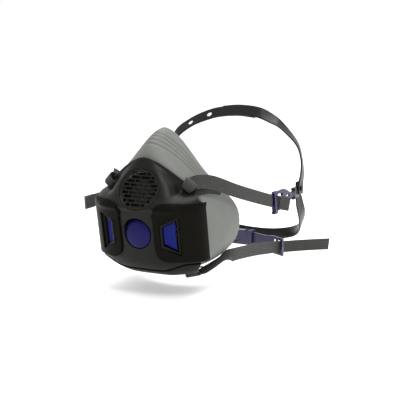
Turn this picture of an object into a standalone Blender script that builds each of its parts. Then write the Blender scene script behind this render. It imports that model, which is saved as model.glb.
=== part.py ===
"""Half-mask respirator with a head harness, a neck strap and a push-button seal check.

Lengths in this script are millimetres in a drawing frame: +X to the wearer's left, +Y back towards the face,
+Z up, with (0, 0, 0) at the middle of the seal-check button. RIG moves that frame so that the object's own
origin is the centre of the face opening, and scales it to metres.
"""

import math

import bmesh
import bpy
import numpy as np
from mathutils import Vector

# ---------------------------------------------------------------- driving dimensions, millimetres
MM = 0.001
FACE_CENTRE = (0.0, 78.0, 12.0)  # drawing point that becomes the object's origin
GAP = 0.3  # least clearance between separate pieces

COVER_HALF_WIDTH = 55.0
COVER_DEPTH = 34.0  # from the front face back to the rear edge of the side
COVER_SQUARENESS = 2.3
COVER_FRONT_Y = -1.5
COVER_WALL = 2.2
LEAN = 0.18  # the front face tips back towards the chin
RIM_TOP_Z = 68.4
RIM_FRONT_Y = 12.4
SHOULDER_Z = 26.0
CHIN_EDGE_Z = -34.0

HUMP_START_Z = 24.0
HUMP_SLOPE = 0.40
HUMP_DEPTH = 20.0

PANEL_INNER_X = 17.0
PANEL_OUTER_X = 54.85
PANEL_TOP_Z = 29.5
PANEL_BOTTOM_Z = -24.0
PANEL_CORNER = 11.0
PANEL_STAND_OFF = 0.9  # the panel sits on a thin seal
PANEL_WALL = 1.2

BUTTON_RADIUS = 13.2
STEM_RADIUS = 4.6
STEM_DISC_RADIUS = 9.0

GRILLE_Z = 40.5
GRILLE_HALF_WIDTH = 20.5
GRILLE_HALF_HEIGHT = 17.6
GRILLE_RECESS = 1.4
GRILLE_WALL = 1.8

PORT_RADIUS = 10.5
PORT_X = 31.0
FRAME_Y = 15.0
FRAME_WALL = 2.0

WEBBING_WIDTH = 12.7
WEBBING_THICKNESS = 1.4
CRADLE_WIDTH = 12.5
CRADLE_THICKNESS = 1.8

COLOURS = {
    "silicone": ((0.30, 0.32, 0.30), 0.55, 0.0),
    "black_shell": ((0.025, 0.025, 0.022), 0.42, 0.0),
    "black_inner": ((0.02, 0.02, 0.02), 0.55, 0.0),
    "blue": ((0.035, 0.03, 0.22), 0.35, 0.0),
    "webbing": ((0.11, 0.115, 0.105), 0.85, 0.0),
    "cradle": ((0.045, 0.045, 0.045), 0.45, 0.0),
    "valve": ((0.55, 0.52, 0.45), 0.5, 0.0),
    "film": ((0.6, 0.6, 0.58), 0.3, 0.0),
    "spring_steel": ((0.6, 0.6, 0.6), 0.25, 1.0),
}


# ---------------------------------------------------------------- scene and materials
def clear_scene():
    for old in list(bpy.data.objects):
        bpy.data.objects.remove(old)


def make_rig():
    """The empty that carries every piece and turns drawing millimetres into metres."""
    rig = bpy.data.objects.new("rig", None)
    bpy.context.scene.collection.objects.link(rig)
    rig.location = -Vector(FACE_CENTRE) * MM
    return rig


def material(name):
    found = bpy.data.materials.get(name)
    if found:
        return found
    colour, roughness, metallic = COLOURS[name]
    made = bpy.data.materials.new(name)
    made.use_nodes = True
    shader = made.node_tree.nodes["Principled BSDF"]
    shader.inputs["Base Color"].default_value = (*colour, 1.0)
    shader.inputs["Roughness"].default_value = roughness
    shader.inputs["Metallic"].default_value = metallic
    return made


clear_scene()
RIG = make_rig()


def add_object(name, points, faces, material_name, helper=False, smooth_degrees=38):
    """A mesh object from points in drawing millimetres, with its normals made to face out."""
    mesh = bpy.data.meshes.new(name)
    mesh.from_pydata([tuple(float(c) * MM for c in p) for p in points], [], faces)
    work = bmesh.new()
    work.from_mesh(mesh)
    bmesh.ops.remove_doubles(work, verts=work.verts, dist=1e-6)
    bmesh.ops.recalc_face_normals(work, faces=work.faces)
    if work.calc_volume(signed=True) < 0:
        bmesh.ops.reverse_faces(work, faces=work.faces)
    work.to_mesh(mesh)
    work.free()
    mesh.shade_smooth()
    mesh.set_sharp_from_angle(angle=math.radians(smooth_degrees))
    obj = bpy.data.objects.new(name, mesh)
    bpy.context.scene.collection.objects.link(obj)
    obj.parent = RIG
    if helper:
        obj.hide_render = True
        obj.display_type = "WIRE"
    else:
        mesh.materials.append(material(material_name))
    return obj


def boolean(obj, other, operation):
    modifier = obj.modifiers.new(other.name, "BOOLEAN")
    modifier.operation = operation
    modifier.object = other
    modifier.solver = "EXACT"


def cut(obj, *cutters):
    for cutter in cutters:
        boolean(obj, cutter, "DIFFERENCE")


def join(obj, *others):
    for other in others:
        boolean(obj, other, "UNION")


# ---------------------------------------------------------------- shape builders
def unit(vector):
    vector = np.asarray(vector, float)
    return vector / np.linalg.norm(vector)


def grid_normals(grid):
    """Unit normals of a grid of points, from the cross product of its two directions."""
    along = np.gradient(grid, axis=0)
    across = np.gradient(grid, axis=1)
    normals = np.cross(along, across)
    return normals / np.maximum(np.linalg.norm(normals, axis=2, keepdims=True), 1e-9)


def quads(rows, columns, first, wrap):
    """Faces between the points of a grid stored row by row from index first."""
    count = columns if wrap else columns - 1
    return [
        (
            first + r * columns + c,
            first + r * columns + (c + 1) % columns,
            first + (r + 1) * columns + (c + 1) % columns,
            first + (r + 1) * columns + c,
        )
        for r in range(rows - 1)
        for c in range(count)
    ]


def shell(name, grid, inner, outer, material_name, wrap=False, helper=False):
    """A closed wall between two offsets of a grid surface. The offsets run along the grid's normals."""
    rows, columns = grid.shape[:2]
    if wrap:
        padded = np.concatenate([grid[:, -1:], grid, grid[:, :1]], axis=1)
        normals = grid_normals(padded)[:, 1:-1]
    else:
        normals = grid_normals(grid)
    near = (grid + normals * inner).reshape(-1, 3)
    far = (grid + normals * outer).reshape(-1, 3)
    size = rows * columns
    faces = quads(rows, columns, 0, wrap)
    faces += [tuple(reversed(face)) for face in quads(rows, columns, size, wrap)]
    top = [c for c in range(columns)]
    bottom = [(rows - 1) * columns + c for c in range(columns)]
    edges = [top, bottom]
    if not wrap:
        edges += [
            [r * columns for r in range(rows)],
            [r * columns + columns - 1 for r in range(rows)],
        ]
    for edge in edges:
        closed = wrap and edge in (top, bottom)
        pairs = zip(edge, edge[1:] + edge[:1]) if closed else zip(edge, edge[1:])
        faces += [(a, b, b + size, a + size) for a, b in pairs]
    return add_object(
        name, np.concatenate([near, far]), faces, material_name, helper=helper
    )


def prism(name, outline, base, axes, low, high, material_name, helper=False):
    """An outline, measured along axes[0] and axes[1], extruded from low to high along axes[2]."""
    base, u, v, w = np.asarray(base, float), *[unit(a) for a in axes]
    points = [base + u * a + v * b + w * h for h in (low, high) for a, b in outline]
    n = len(outline)
    faces = [tuple(range(n)), tuple(range(n, 2 * n))]
    faces += [(i, (i + 1) % n, n + (i + 1) % n, n + i) for i in range(n)]
    return add_object(name, points, faces, material_name, helper=helper)


def tube(name, base, axes, rings, sides, material_name, helper=False):
    """A turned solid: a closed chain of (radius, height) rings. A radius of 0 is a pole."""
    base, u, v, w = np.asarray(base, float), *[unit(a) for a in axes]
    angles = [2 * math.pi * i / sides for i in range(sides)]
    points = [
        base + (u * math.cos(a) + v * math.sin(a)) * r + w * h
        for r, h in rings
        for a in angles
    ]
    total = len(rings)
    faces = []
    for k in range(total):
        nxt = (k + 1) % total
        if rings[k][0] == 0 and rings[nxt][0] == 0:
            continue
        for i in range(sides):
            j = (i + 1) % sides
            face = [k * sides + i, k * sides + j, nxt * sides + j, nxt * sides + i]
            if rings[k][0] == 0:
                face = [face[0], face[2], face[3]]
            elif rings[nxt][0] == 0:
                face = [face[0], face[1], face[2]]
            faces.append(tuple(face))
    return add_object(name, points, faces, material_name, helper=helper)


def box(name, centre, axes, size, material_name, helper=False):
    """A rectangular block: size is measured along the three axes."""
    a, b, c = (s / 2 for s in size)
    outline = [(-a, -b), (a, -b), (a, b), (-a, b)]
    return prism(name, outline, centre, axes, -c, c, material_name, helper=helper)


def smooth_path(points, count):
    """Rows spaced evenly by length on a smooth curve through the given rows, which start with x, y and z."""
    knots = np.asarray(points, float)
    padded = np.concatenate(
        [[2 * knots[0] - knots[1]], knots, [2 * knots[-1] - knots[-2]]]
    )
    fine = []
    for k in range(len(knots) - 1):
        a, b, c, d = padded[k : k + 4]
        for t in np.linspace(0, 1, 24, endpoint=False):
            fine.append(
                0.5
                * (
                    2 * b
                    + (c - a) * t
                    + (2 * a - 5 * b + 4 * c - d) * t**2
                    + (3 * b - a - 3 * c + d) * t**3
                )
            )
    fine.append(knots[-1])
    fine = np.array(fine)
    length = np.concatenate(
        [[0], np.cumsum(np.linalg.norm(np.diff(fine[:, :3], axis=0), axis=1))]
    )
    wanted = np.linspace(0, length[-1], count)
    return np.stack([np.interp(wanted, length, column) for column in fine.T], axis=1)


def band_frames(path, widths):
    """Tangent, width direction and face normal at each point of a strap's path."""
    tangents = np.gradient(path, axis=0)
    tangents /= np.linalg.norm(tangents, axis=1, keepdims=True)
    across = widths - (widths * tangents).sum(1, keepdims=True) * tangents
    across /= np.linalg.norm(across, axis=1, keepdims=True)
    return tangents, across, np.cross(tangents, across)


def band(name, knots, width, thickness, count, material_name, helper=False):
    """A flat strap. Each knot is a point and the direction in which the strap is wide there."""
    rows = smooth_path([[*point, *unit(wide)] for point, wide in knots], count)
    path = rows[:, :3]
    _, across, normal = band_frames(path, rows[:, 3:])
    corners = [(-1, -1), (1, -1), (1, 1), (-1, 1)]
    points = [
        p + a * (width / 2 * s) + n * (thickness / 2 * t)
        for p, a, n in zip(path, across, normal)
        for s, t in corners
    ]
    last = 4 * (count - 1)
    faces = quads(count, 4, 0, True)
    faces += [(3, 2, 1, 0), (last, last + 1, last + 2, last + 3)]
    return add_object(name, points, faces, material_name, helper=helper)


# ---------------------------------------------------------------- the cover's surface
def smooth_min(a, b, radius):
    """The lower of two surfaces with a fillet where they meet."""
    share = np.clip(0.5 + 0.5 * (b - a) / radius, 0, 1)
    return b * (1 - share) + a * share - radius * share * (1 - share)


def bow(x, half_width, depth, power):
    """How far a round-cornered front falls back at x from its middle."""
    t = np.clip(np.abs(x) / half_width, 0, 1)
    inside = depth * (1 - (1 - t**power) ** (1 / power))
    return inside + 6.0 * np.maximum(np.abs(x) - half_width, 0)


def rim_z(x):
    """Height of the cover's upper edge."""
    return RIM_TOP_Z + 0.8 - 0.098 * (x * x + 16.0) ** 0.75


def rim_y(x):
    """Depth of the cover's upper edge."""
    return RIM_FRONT_Y + 0.0064 * x * x


def chin_edge_z(x):
    """Height of the cover's lower edge."""
    t = np.clip((np.abs(x) - 18) / 28, 0, 1)
    return CHIN_EDGE_Z + 8.0 * t * t * (3 - 2 * t)


def box_y(x, z):
    """The wide lower body: a round-cornered front that tips back, with rounded upper and lower edges."""
    above = np.maximum(z - SHOULDER_Z, 0)
    below = np.maximum(-22.0 - z, 0)
    lean = -LEAN * np.minimum(z, HUMP_START_Z)
    front = COVER_FRONT_Y + lean + 0.12 * above**2 + 0.035 * below**2
    return front + bow(x, COVER_HALF_WIDTH, COVER_DEPTH, COVER_SQUARENESS)


def hump_half_width(z):
    """Half-width of the raised hump that holds the speaking grille."""
    levels = [HUMP_START_Z, 31.0, 37.0, 45.0, 56.0, 64.0, RIM_TOP_Z]
    widths = [44.0, 38.0, 34.0, 30.5, 22.5, 14.5, 8.0]
    return np.interp(z, levels, widths)


def hump_y(x, z):
    """The hump's surface. Below its start it falls away behind the body."""
    over = np.maximum(z - HUMP_START_Z, 0)
    under = np.maximum(HUMP_START_Z - z, 0)
    front = COVER_FRONT_Y - LEAN * HUMP_START_Z + HUMP_SLOPE * over + 1.2 * under
    return front + bow(x, hump_half_width(z), HUMP_DEPTH, 2.8)


def collar_y(x, z):
    """The collar under the upper edge, behind the hump, where the strap slots are."""
    below = np.maximum(34.0 - z, 0)
    return rim_y(x) - 0.12 * (rim_z(x) - z) + 0.9 * below


def cover_y(x, z):
    return smooth_min(
        smooth_min(box_y(x, z), hump_y(x, z), 4.0), collar_y(x, z), 3.0
    )


def cover_columns(count, outer_x):
    """X positions across the cover, closer together where its sides turn back."""
    s = np.sin(np.linspace(-math.pi / 2, math.pi / 2, count))
    return outer_x * np.sign(s) * np.abs(s) ** (2 / COVER_SQUARENESS)


def surface_grid(columns, low, high, rows, depth):
    """A grid of points on the surface y = depth(x, z), column by column from low(x) to high(x)."""
    t = np.linspace(0, 1, rows)
    grid = np.zeros((len(columns), rows, 3))
    for i, x in enumerate(columns):
        z = low(x) + (high(x) - low(x)) * t
        grid[i, :, 0] = x
        grid[i, :, 1] = depth(np.full(rows, x), z)
        grid[i, :, 2] = z
    return grid


def ellipse_outline(half_width, half_height, count):
    angles = [2 * math.pi * i / count for i in range(count)]
    return [(half_width * math.cos(a), half_height * math.sin(a)) for a in angles]


X, Y, Z = (1, 0, 0), (0, 1, 0), (0, 0, 1)
FRONT_AXES = (X, Z, (0, -1, 0))  # outlines drawn in X and Z, extruded towards the front


# ---------------------------------------------------------------- port windows
WINDOW_TILT = math.radians(31)


def window_axes(side):
    """Across, up and outward directions of a side window. side is 1 on the wearer's left."""
    across = np.array([side * math.cos(WINDOW_TILT), math.sin(WINDOW_TILT), 0.0])
    up = np.array([0.0, -LEAN, 1.0])
    return across, up, np.cross(across, up) * side


WINDOW_INNER_X = 26.0
WINDOW_OUTER_X = 37.3
WINDOW_INNER_HALF = 8.8
WINDOW_OUTER_HALF = 15.4
RING_WIDTH = 2.1  # the flat land round each window, where a cartridge seats
RING_FRONT = 0.6
RING_BACK = -1.6


def window_outline(grow):
    """A trapezium, short towards the button and tall towards the cheek, measured from its middle."""
    half = (WINDOW_OUTER_X - WINDOW_INNER_X) / 2 / math.cos(WINDOW_TILT) + grow
    small, tall = WINDOW_INNER_HALF + grow * 0.8, WINDOW_OUTER_HALF + grow * 1.3
    return [(-half, -small), (half, -tall), (half, tall), (-half, small)]


def window_centre(side):
    x = (WINDOW_INNER_X + WINDOW_OUTER_X) / 2
    return np.array([side * x, float(box_y(np.array(x), np.array(0.0))), 0.0])


def window_prism(name, side, grow, low, high, material_name, helper=False):
    across, up, out = window_axes(side)
    return prism(
        name,
        window_outline(grow),
        window_centre(side),
        (across, up, out),
        low,
        high,
        material_name,
        helper=helper,
    )


def make_port_ring(side, label):
    """The flat ring round a side window. A cartridge's seal presses on its front face."""
    ring = window_prism(f"{label}_port_ring", side, RING_WIDTH, RING_BACK, RING_FRONT, "black_shell")
    cut(ring, window_prism(f"cut_{label}_port_ring", side, 0.0, RING_BACK - 3, RING_FRONT + 3, None, True))
    return ring


# ---------------------------------------------------------------- the front of the mask
SLOT_X = 37.5  # where the upper strap passes through the cover


def strap_slot_frame(side):
    """Middle, run, outward and upward directions of an upper strap slot in the cover's collar."""
    x = SLOT_X
    step = 0.5
    ends = [np.array([a, rim_y(a), rim_z(a)]) for a in (x - step, x + step)]
    run = unit(ends[1] - ends[0])
    z = rim_z(x) - 6.2
    middle = np.array([x, float(cover_y(np.array(x), np.array(z))), z])
    out = unit(np.cross(run, unit(np.cross(np.array([0, -1.0, 0.15]), run))))
    out = -out if out[1] > 0 else out
    upward = unit(np.cross(run, out))
    upward = -upward if upward[2] < 0 else upward
    flip = np.array([side, 1, 1])
    return middle * flip, run * flip, out * flip, upward * flip


def make_cover():
    grid = surface_grid(
        cover_columns(33, COVER_HALF_WIDTH), chin_edge_z, rim_z, 21, cover_y
    )
    cover = shell("front_cover", grid, -COVER_WALL, 0.0, "black_shell")
    button_hole = tube(
        "cut_button", (0, 0, 0), FRONT_AXES, [(0, -12), (13.6, -12), (13.6, 14), (0, 14)], 32, None, True
    )
    grille_hole = prism(
        "cut_grille",
        ellipse_outline(GRILLE_HALF_WIDTH + GAP, GRILLE_HALF_HEIGHT + GAP, 36),
        (0, 0, GRILLE_Z),
        FRONT_AXES,
        -16,
        16,
        None,
        True,
    )
    cut(cover, button_hole, grille_hole)
    for side, label in ((1, "left"), (-1, "right")):
        name = f"cut_cover_window_{label}"
        cut(cover, window_prism(name, side, RING_WIDTH + 2 * GAP, -10, 10, None, True))
        middle, run, out, upward = strap_slot_frame(side)
        slot = box(
            f"cut_strap_slot_{label}", middle, (run, upward, out), (WEBBING_WIDTH + 3.6, 4.2, 24), None, True
        )
        cut(cover, slot)
    return cover


def make_side_panel(side, label):
    """The raised panel round a port window. It lies on the cover with a small gap."""
    count = 15
    lowest, highest = PANEL_BOTTOM_Z, PANEL_TOP_Z

    def corner(x):
        reach = np.clip(PANEL_CORNER - (x - PANEL_INNER_X), 0, PANEL_CORNER)
        return PANEL_CORNER - math.sqrt(PANEL_CORNER**2 - reach**2)

    s = np.sin(np.linspace(0, math.pi / 2, count))
    start = PANEL_INNER_X / PANEL_OUTER_X
    share = start ** (COVER_SQUARENESS / 2) + (1 - start ** (COVER_SQUARENESS / 2)) * s
    columns = PANEL_OUTER_X * share ** (2 / COVER_SQUARENESS)
    grid = surface_grid(
        columns, lambda x: lowest + corner(x), lambda x: highest - corner(x), 14, cover_y
    )
    grid[:, :, 0] *= side
    if side < 0:
        grid = grid[::-1]
    panel = shell(f"{label}_side_panel", grid, PANEL_STAND_OFF, PANEL_STAND_OFF + PANEL_WALL, "black_shell")
    cut(panel, window_prism(f"cut_panel_window_{label}", side, RING_WIDTH + GAP, -10, 10, None, True))
    return panel


def make_grille():
    """The oval speaking grille, sunk a little into the hump and pierced with rows of slots."""
    rings, sides = 5, 36
    grid = np.zeros((rings, sides, 3))
    for i in range(rings):
        share = max(i / (rings - 1), 0.04)
        for j, (dx, dz) in enumerate(
            ellipse_outline(GRILLE_HALF_WIDTH * share, GRILLE_HALF_HEIGHT * share, sides)
        ):
            y = float(cover_y(np.array(dx), np.array(GRILLE_Z + dz))) + GRILLE_RECESS
            grid[i, j] = (dx, y, GRILLE_Z + dz)
    front = grid.reshape(-1, 3)
    back = front + (0, GRILLE_WALL, 0)
    size = rings * sides
    faces = quads(rings, sides, 0, True) + quads(rings, sides, size, True)
    faces += [tuple(range(sides)), tuple(range(size, size + sides))]
    edge = (rings - 1) * sides
    faces += [
        (edge + j, edge + (j + 1) % sides, size + edge + (j + 1) % sides, size + edge + j)
        for j in range(sides)
    ]
    grille = add_object("speaking_grille", np.concatenate([front, back]), faces, "black_shell")
    pitch, height = 3.6, 1.7
    slots = []
    for row in range(-4, 5):
        z = row * pitch
        reach = GRILLE_HALF_WIDTH * math.sqrt(1 - (z / GRILLE_HALF_HEIGHT) ** 2) - 2.6
        for left, right in ((-reach, -6.6), (-5.0, 5.0), (6.6, reach)):
            left, right = max(left, -reach), min(right, reach)
            if right - left > 2.5:
                slots.append(((left + right) / 2, z, right - left))
    points, cut_faces = [], []
    for x, z, length in slots:
        first = len(points)
        for y in (-20, 20):
            for sx, sz in ((-1, -1), (1, -1), (1, 1), (-1, 1)):
                points.append((x + sx * length / 2, y, GRILLE_Z + z + sz * height / 2))
        ring = [first, first + 1, first + 2, first + 3]
        cut_faces += [tuple(ring), tuple(i + 4 for i in ring)]
        cut_faces += [
            (ring[i], ring[(i + 1) % 4], ring[(i + 1) % 4] + 4, ring[i] + 4)
            for i in range(4)
        ]
    cut(grille, add_object("cut_grille_slots", points, cut_faces, None, helper=True))
    return grille


GRILLE_NORMAL = unit((0, -1, HUMP_SLOPE))
GRILLE_UP = unit((0, HUMP_SLOPE, 1))
GRILLE_BACK = np.array([0.0, float(cover_y(np.array(0.0), np.array(GRILLE_Z))), GRILLE_Z])
GRILLE_AXES = (X, GRILLE_UP, GRILLE_NORMAL)


def make_speaking_diaphragm():
    """Holder ring, gasket and thin film behind the grille, and the ring that clamps them."""
    tube("diaphragm_holder", GRILLE_BACK, GRILLE_AXES,
         [(13.2, -5.6), (17.0, -5.6), (17.0, -12.0), (11.5, -12.0), (11.5, -9.6), (13.2, -9.6)], 32, "black_inner")
    tube("diaphragm_gasket", GRILLE_BACK, GRILLE_AXES,
         [(11.8, -8.2), (12.9, -8.2), (12.9, -9.3), (11.8, -9.3)], 28, "valve")
    tube("diaphragm_film", GRILLE_BACK, GRILLE_AXES,
         [(0, -7.4), (12.9, -7.4), (12.9, -7.9), (0, -7.9)], 28, "film")
    tube("diaphragm_clamp_ring", GRILLE_BACK, GRILLE_AXES,
         [(11.2, -5.8), (12.9, -5.8), (12.9, -7.1), (11.2, -7.1)], 28, "black_inner")


# ---------------------------------------------------------------- seal-check mechanism
BUTTON_BACK_Y = 7.4  # rear of the button's stem disc
BOSS_Y = 13.0  # front of the inner frame's spring boss


def make_button():
    rim = 3.2
    profile = [(0, 2.6), (6.0, 2.2), (10.0, 1.2), (12.4, -0.4), (BUTTON_RADIUS, -rim)]
    profile += [(BUTTON_RADIUS, -rim - 1.0), (11.8, -rim - 1.0), (11.6, -1.8), (7.0, -0.2)]
    profile += [(STEM_RADIUS + 1.2, -0.4), (STEM_RADIUS + 1.2, -BUTTON_BACK_Y + 1.2)]
    profile += [(STEM_DISC_RADIUS, -BUTTON_BACK_Y + 1.2), (STEM_DISC_RADIUS, -BUTTON_BACK_Y)]
    profile += [(STEM_RADIUS, -BUTTON_BACK_Y), (STEM_RADIUS, -0.8), (0, -0.8)]
    return tube("seal_check_button", (0, 0, 0), FRONT_AXES, profile, 32, "blue")


def make_button_spring():
    """A compression spring between the button and the frame's boss, as a coil of round wire."""
    turns, wire, radius, per_turn = 4.5, 0.32, 3.4, 12
    start, end = 1.5, BOSS_Y - 0.8
    steps = int(turns * per_turn)
    curve = bpy.data.curves.new("button_spring", "CURVE")
    curve.dimensions = "3D"
    curve.bevel_depth = wire * MM
    curve.bevel_resolution = 1
    curve.use_fill_caps = True
    line = curve.splines.new("POLY")
    line.points.add(steps)
    for i in range(steps + 1):
        angle = 2 * math.pi * i / per_turn
        y = start + (end - start) * i / steps
        point = Vector((radius * math.cos(angle), y, radius * math.sin(angle))) * MM
        line.points[i].co = (*point, 1.0)
    spring = bpy.data.objects.new("button_spring", curve)
    bpy.context.scene.collection.objects.link(spring)
    spring.parent = RIG
    curve.materials.append(material("spring_steel"))
    return spring


SHUTTER_PIVOT_X = 20.5
SHUTTER_PIVOT_Y = 9.6
SHUTTER_GROW = -1.2  # how much larger the shutter is than its window, so negative


def make_shutter(side, label):
    """A blue shutter behind a port window. Its inner arm reaches under the button's stem disc."""
    across, up, out = window_axes(side)
    pad = window_prism(f"{label}_shutter", side, SHUTTER_GROW, -6.4, -2.0, "blue")
    step = prism(
        f"add_{label}_shutter_step",
        [(1.4, -11.0), (4.6, -12.6), (4.6, 12.6), (1.4, 11.0)],
        window_centre(side),
        (across, up, out),
        -3.0,
        -1.3,
        None,
        True,
    )
    arm_outline = [
        (6.2, 8.9), (8.6, 8.8), (SHUTTER_PIVOT_X, 8.0), (27.5, 5.6), (33.0, 9.0),
        (31.5, 11.0), (SHUTTER_PIVOT_X, 11.6), (6.2, 10.5),
    ]
    arm = prism(
        f"add_{label}_shutter_arm",
        [(side * x, y) for x, y in arm_outline],
        (0, 0, 0),
        (X, Y, Z),
        -3.0,
        3.0,
        None,
        True,
    )
    knuckle = tube(
        f"add_{label}_shutter_knuckle",
        (side * SHUTTER_PIVOT_X, SHUTTER_PIVOT_Y, 0),
        (X, Y, Z),
        [(0, -4.0), (2.4, -4.0), (2.4, 4.0), (0, 4.0)],
        16,
        None,
        True,
    )
    join(pad, step, arm, knuckle)
    pin_hole = tube(
        f"cut_{label}_shutter_pin",
        (side * SHUTTER_PIVOT_X, SHUTTER_PIVOT_Y, 0),
        (X, Y, Z),
        [(0, -6), (1.15, -6), (1.15, 6), (0, 6)],
        12,
        None,
        True,
    )
    cut(pad, pin_hole)
    tube(
        f"{label}_shutter_pin",
        (side * SHUTTER_PIVOT_X, SHUTTER_PIVOT_Y, 0),
        (X, Y, Z),
        [(0, -7.0), (0.85, -7.0), (0.85, 7.0), (0, 7.0)],
        12,
        "spring_steel",
    )
    return pad


# ---------------------------------------------------------------- inner frame and valves
def frame_y(x, z):
    """Depth of the inner frame's front face."""
    return FRAME_Y + 0.0058 * x * x


def frame_top(x):
    return rim_z(x) - 14.5


def frame_bottom(x):
    t = np.clip(np.abs(x) / 46, 0, 1)
    return -33.0 + 9.0 * t**2


PORT_TILT = math.radians(20)


def port_frame(side):
    """Centre and axes of an inhalation port in the inner frame, its axis pointing back towards the face."""
    centre = np.array([side * PORT_X, frame_y(PORT_X, 0) + 1.0, 0.0])
    across = np.array([side * math.cos(PORT_TILT), math.sin(PORT_TILT), 0.0])
    inward = np.array([-side * math.sin(PORT_TILT), math.cos(PORT_TILT), 0.0])
    return centre, (across, Z, inward)


EXHALE_CENTRE = (0.0, 17.0, -18.6)
EXHALE_RADIUS = 9.0
EXHALE_AXES = (X, Z, Y)


def make_inner_frame():
    grid = surface_grid(np.linspace(-46, 46, 17), frame_bottom, frame_top, 9, frame_y)
    frame = shell("inner_frame", grid, -FRAME_WALL, 0.0, "black_inner")
    boss = tube("add_spring_boss", (0, 0, 0), (X, Z, Y),
                [(0, BOSS_Y), (6.2, BOSS_Y), (6.2, 16.2), (0, 16.2)], 20, None, True)
    join(frame, boss)
    for side, label in ((1, "left"), (-1, "right")):
        for part, low, high in (("upper", 4.6, 7.2), ("lower", -7.2, -4.6)):
            lug = box(
                f"add_{label}_{part}_lug",
                (side * SHUTTER_PIVOT_X, 13.4, (low + high) / 2),
                (X, Y, Z),
                (5.2, 11.0, high - low),
                None,
                True,
            )
            join(frame, lug)
        pin_hole = tube(
            f"cut_{label}_lug_pin",
            (side * SHUTTER_PIVOT_X, SHUTTER_PIVOT_Y, 0),
            (X, Y, Z),
            [(0, -9), (1.15, -9), (1.15, 9), (0, 9)],
            12,
            None,
            True,
        )
        centre, axes = port_frame(side)
        port = tube(f"cut_{label}_port", centre, axes,
                    [(0, -9), (PORT_RADIUS - 1.6, -9), (PORT_RADIUS - 1.6, 12), (0, 12)], 28, None, True)
        cut(frame, pin_hole, port)
    grille_seat = tube("cut_diaphragm_seat", GRILLE_BACK, GRILLE_AXES,
                       [(0, 6), (17.4, 6), (17.4, -26), (0, -26)], 32, None, True)
    exhale = tube("cut_exhale_port", EXHALE_CENTRE, EXHALE_AXES,
                  [(0, -8), (EXHALE_RADIUS, -8), (EXHALE_RADIUS, 8), (0, 8)], 28, None, True)
    cut(frame, grille_seat, exhale)
    return frame


def make_valves():
    """Two inhalation flaps on the face side of their ports, and the exhalation flap in front of its seat."""
    for side, label in ((1, "left"), (-1, "right")):
        centre, axes = port_frame(side)
        tube(f"{label}_port_seat", centre, axes,
             [(7.4, 2.1), (PORT_RADIUS, 2.1), (PORT_RADIUS, 4.0), (7.4, 4.0)], 24, "black_inner")
        tube(f"{label}_inhalation_flap", centre, axes,
             [(0, 4.3), (9.4, 4.3), (9.4, 5.0), (0, 5.0)], 24, "valve")
    tube("exhalation_seat", EXHALE_CENTRE, EXHALE_AXES,
         [(7.0, -4.1), (EXHALE_RADIUS + 1.6, -4.1), (EXHALE_RADIUS + 1.6, -2.3), (EXHALE_RADIUS - 0.4, -2.3),
          (EXHALE_RADIUS - 0.4, 1.4), (7.0, 1.4)], 24, "black_inner")
    tube("exhalation_flap", EXHALE_CENTRE, EXHALE_AXES,
         [(0, -5.1), (9.1, -5.1), (9.1, -4.4), (0, -4.4)], 24, "valve")


# ---------------------------------------------------------------- chin guard under the cover
def make_chin_guard():
    count, rows = 21, 7
    grid = np.zeros((count, rows, 3))
    for i, s in enumerate(np.linspace(-1, 1, count)):
        swing = math.sin(s * math.pi / 2)
        x0 = 52.0 * swing
        z0 = float(chin_edge_z(x0)) - 1.4
        y0 = float(cover_y(np.array(x0), np.array(z0 + 1.4))) + 0.6
        front = np.array([x0, y0, z0])
        back = np.array([39.0 * swing, 53.0 - 9.0 * s * s, -45.5 + 8.5 * s**4])
        for j, t in enumerate(np.linspace(0, 1, rows)):
            bulge = np.array([0, -2.0, -2.6 * (1 - 0.5 * s * s)]) * math.sin(math.pi * t)
            grid[i, j] = front * (1 - t) + back * t + bulge
    guard = shell("chin_guard", grid, 0.0, 2.0, "black_shell")
    for side, label in ((1, "left"), (-1, "right")):
        slot = box(f"cut_{label}_neck_slot", lower_slot(side), lower_slot_axes(side),
                   (WEBBING_WIDTH + 2.0, 4.0, 16), None, True)
        cut(guard, slot)
    return guard


def lower_slot(side):
    return np.array([side * 27.0, 44.0, -44.0])


def lower_slot_axes(side):
    """Across the strap, along it, and through the guard's wall."""
    return (np.array([1.0, 0.0, side * 0.28]), Y, np.array([-side * 0.28, 0.0, 1.0]))


# ---------------------------------------------------------------- silicone facepiece
# Half outlines of the facepiece, top to chin, from the front opening back to the turned-in sealing lip.
FACEPIECE_RINGS = [
    [(0, 16.2, 58), (15, 18.2, 53), (29, 22.6, 45), (42, 28.5, 34), (49.5, 33, 20),
     (51, 36, 0), (49.5, 39, -17), (38, 38, -27), (20, 34, -33), (0, 32, -35)],
    [(0, 16.2, 68), (14, 18.6, 63), (28, 23.2, 54), (39.5, 28.8, 43.5), (48.5, 35, 30),
     (51.8, 40, 12), (51.8, 43, -8), (49, 45, -24), (36, 46, -34), (18, 44, -38), (0, 42, -39)],
    [(0, 22, 80), (12, 27, 75), (25, 36, 64), (36, 45, 50), (47, 52, 34),
     (53.5, 58, 14), (54.2, 60, -8), (50, 60, -25), (37, 58, -35), (19, 54, -40), (0, 51, -41)],
    [(0, 34, 89), (12, 43, 82), (22, 53, 69), (32.5, 62, 53), (45, 70, 35),
     (54.5, 78, 15), (55.6, 80, -6), (50, 78, -24), (37, 71, -36), (20, 64, -42), (0, 60, -43.5)],
    [(0, 50, 93), (11, 58, 84), (20, 67, 68), (30, 75, 50), (42, 84, 34),
     (53, 96, 16), (55, 100, -3), (49.5, 97, -21), (37, 80, -35), (20, 71, -43), (0, 66, -45)],
    [(0, 54, 88.5), (8, 61, 79), (14, 69, 64), (22, 77, 47), (32, 86, 30),
     (41, 97, 13), (43, 100, -4), (38, 96, -18), (29, 80, -29), (16, 71, -37), (0, 67, -39)],
]


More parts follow.
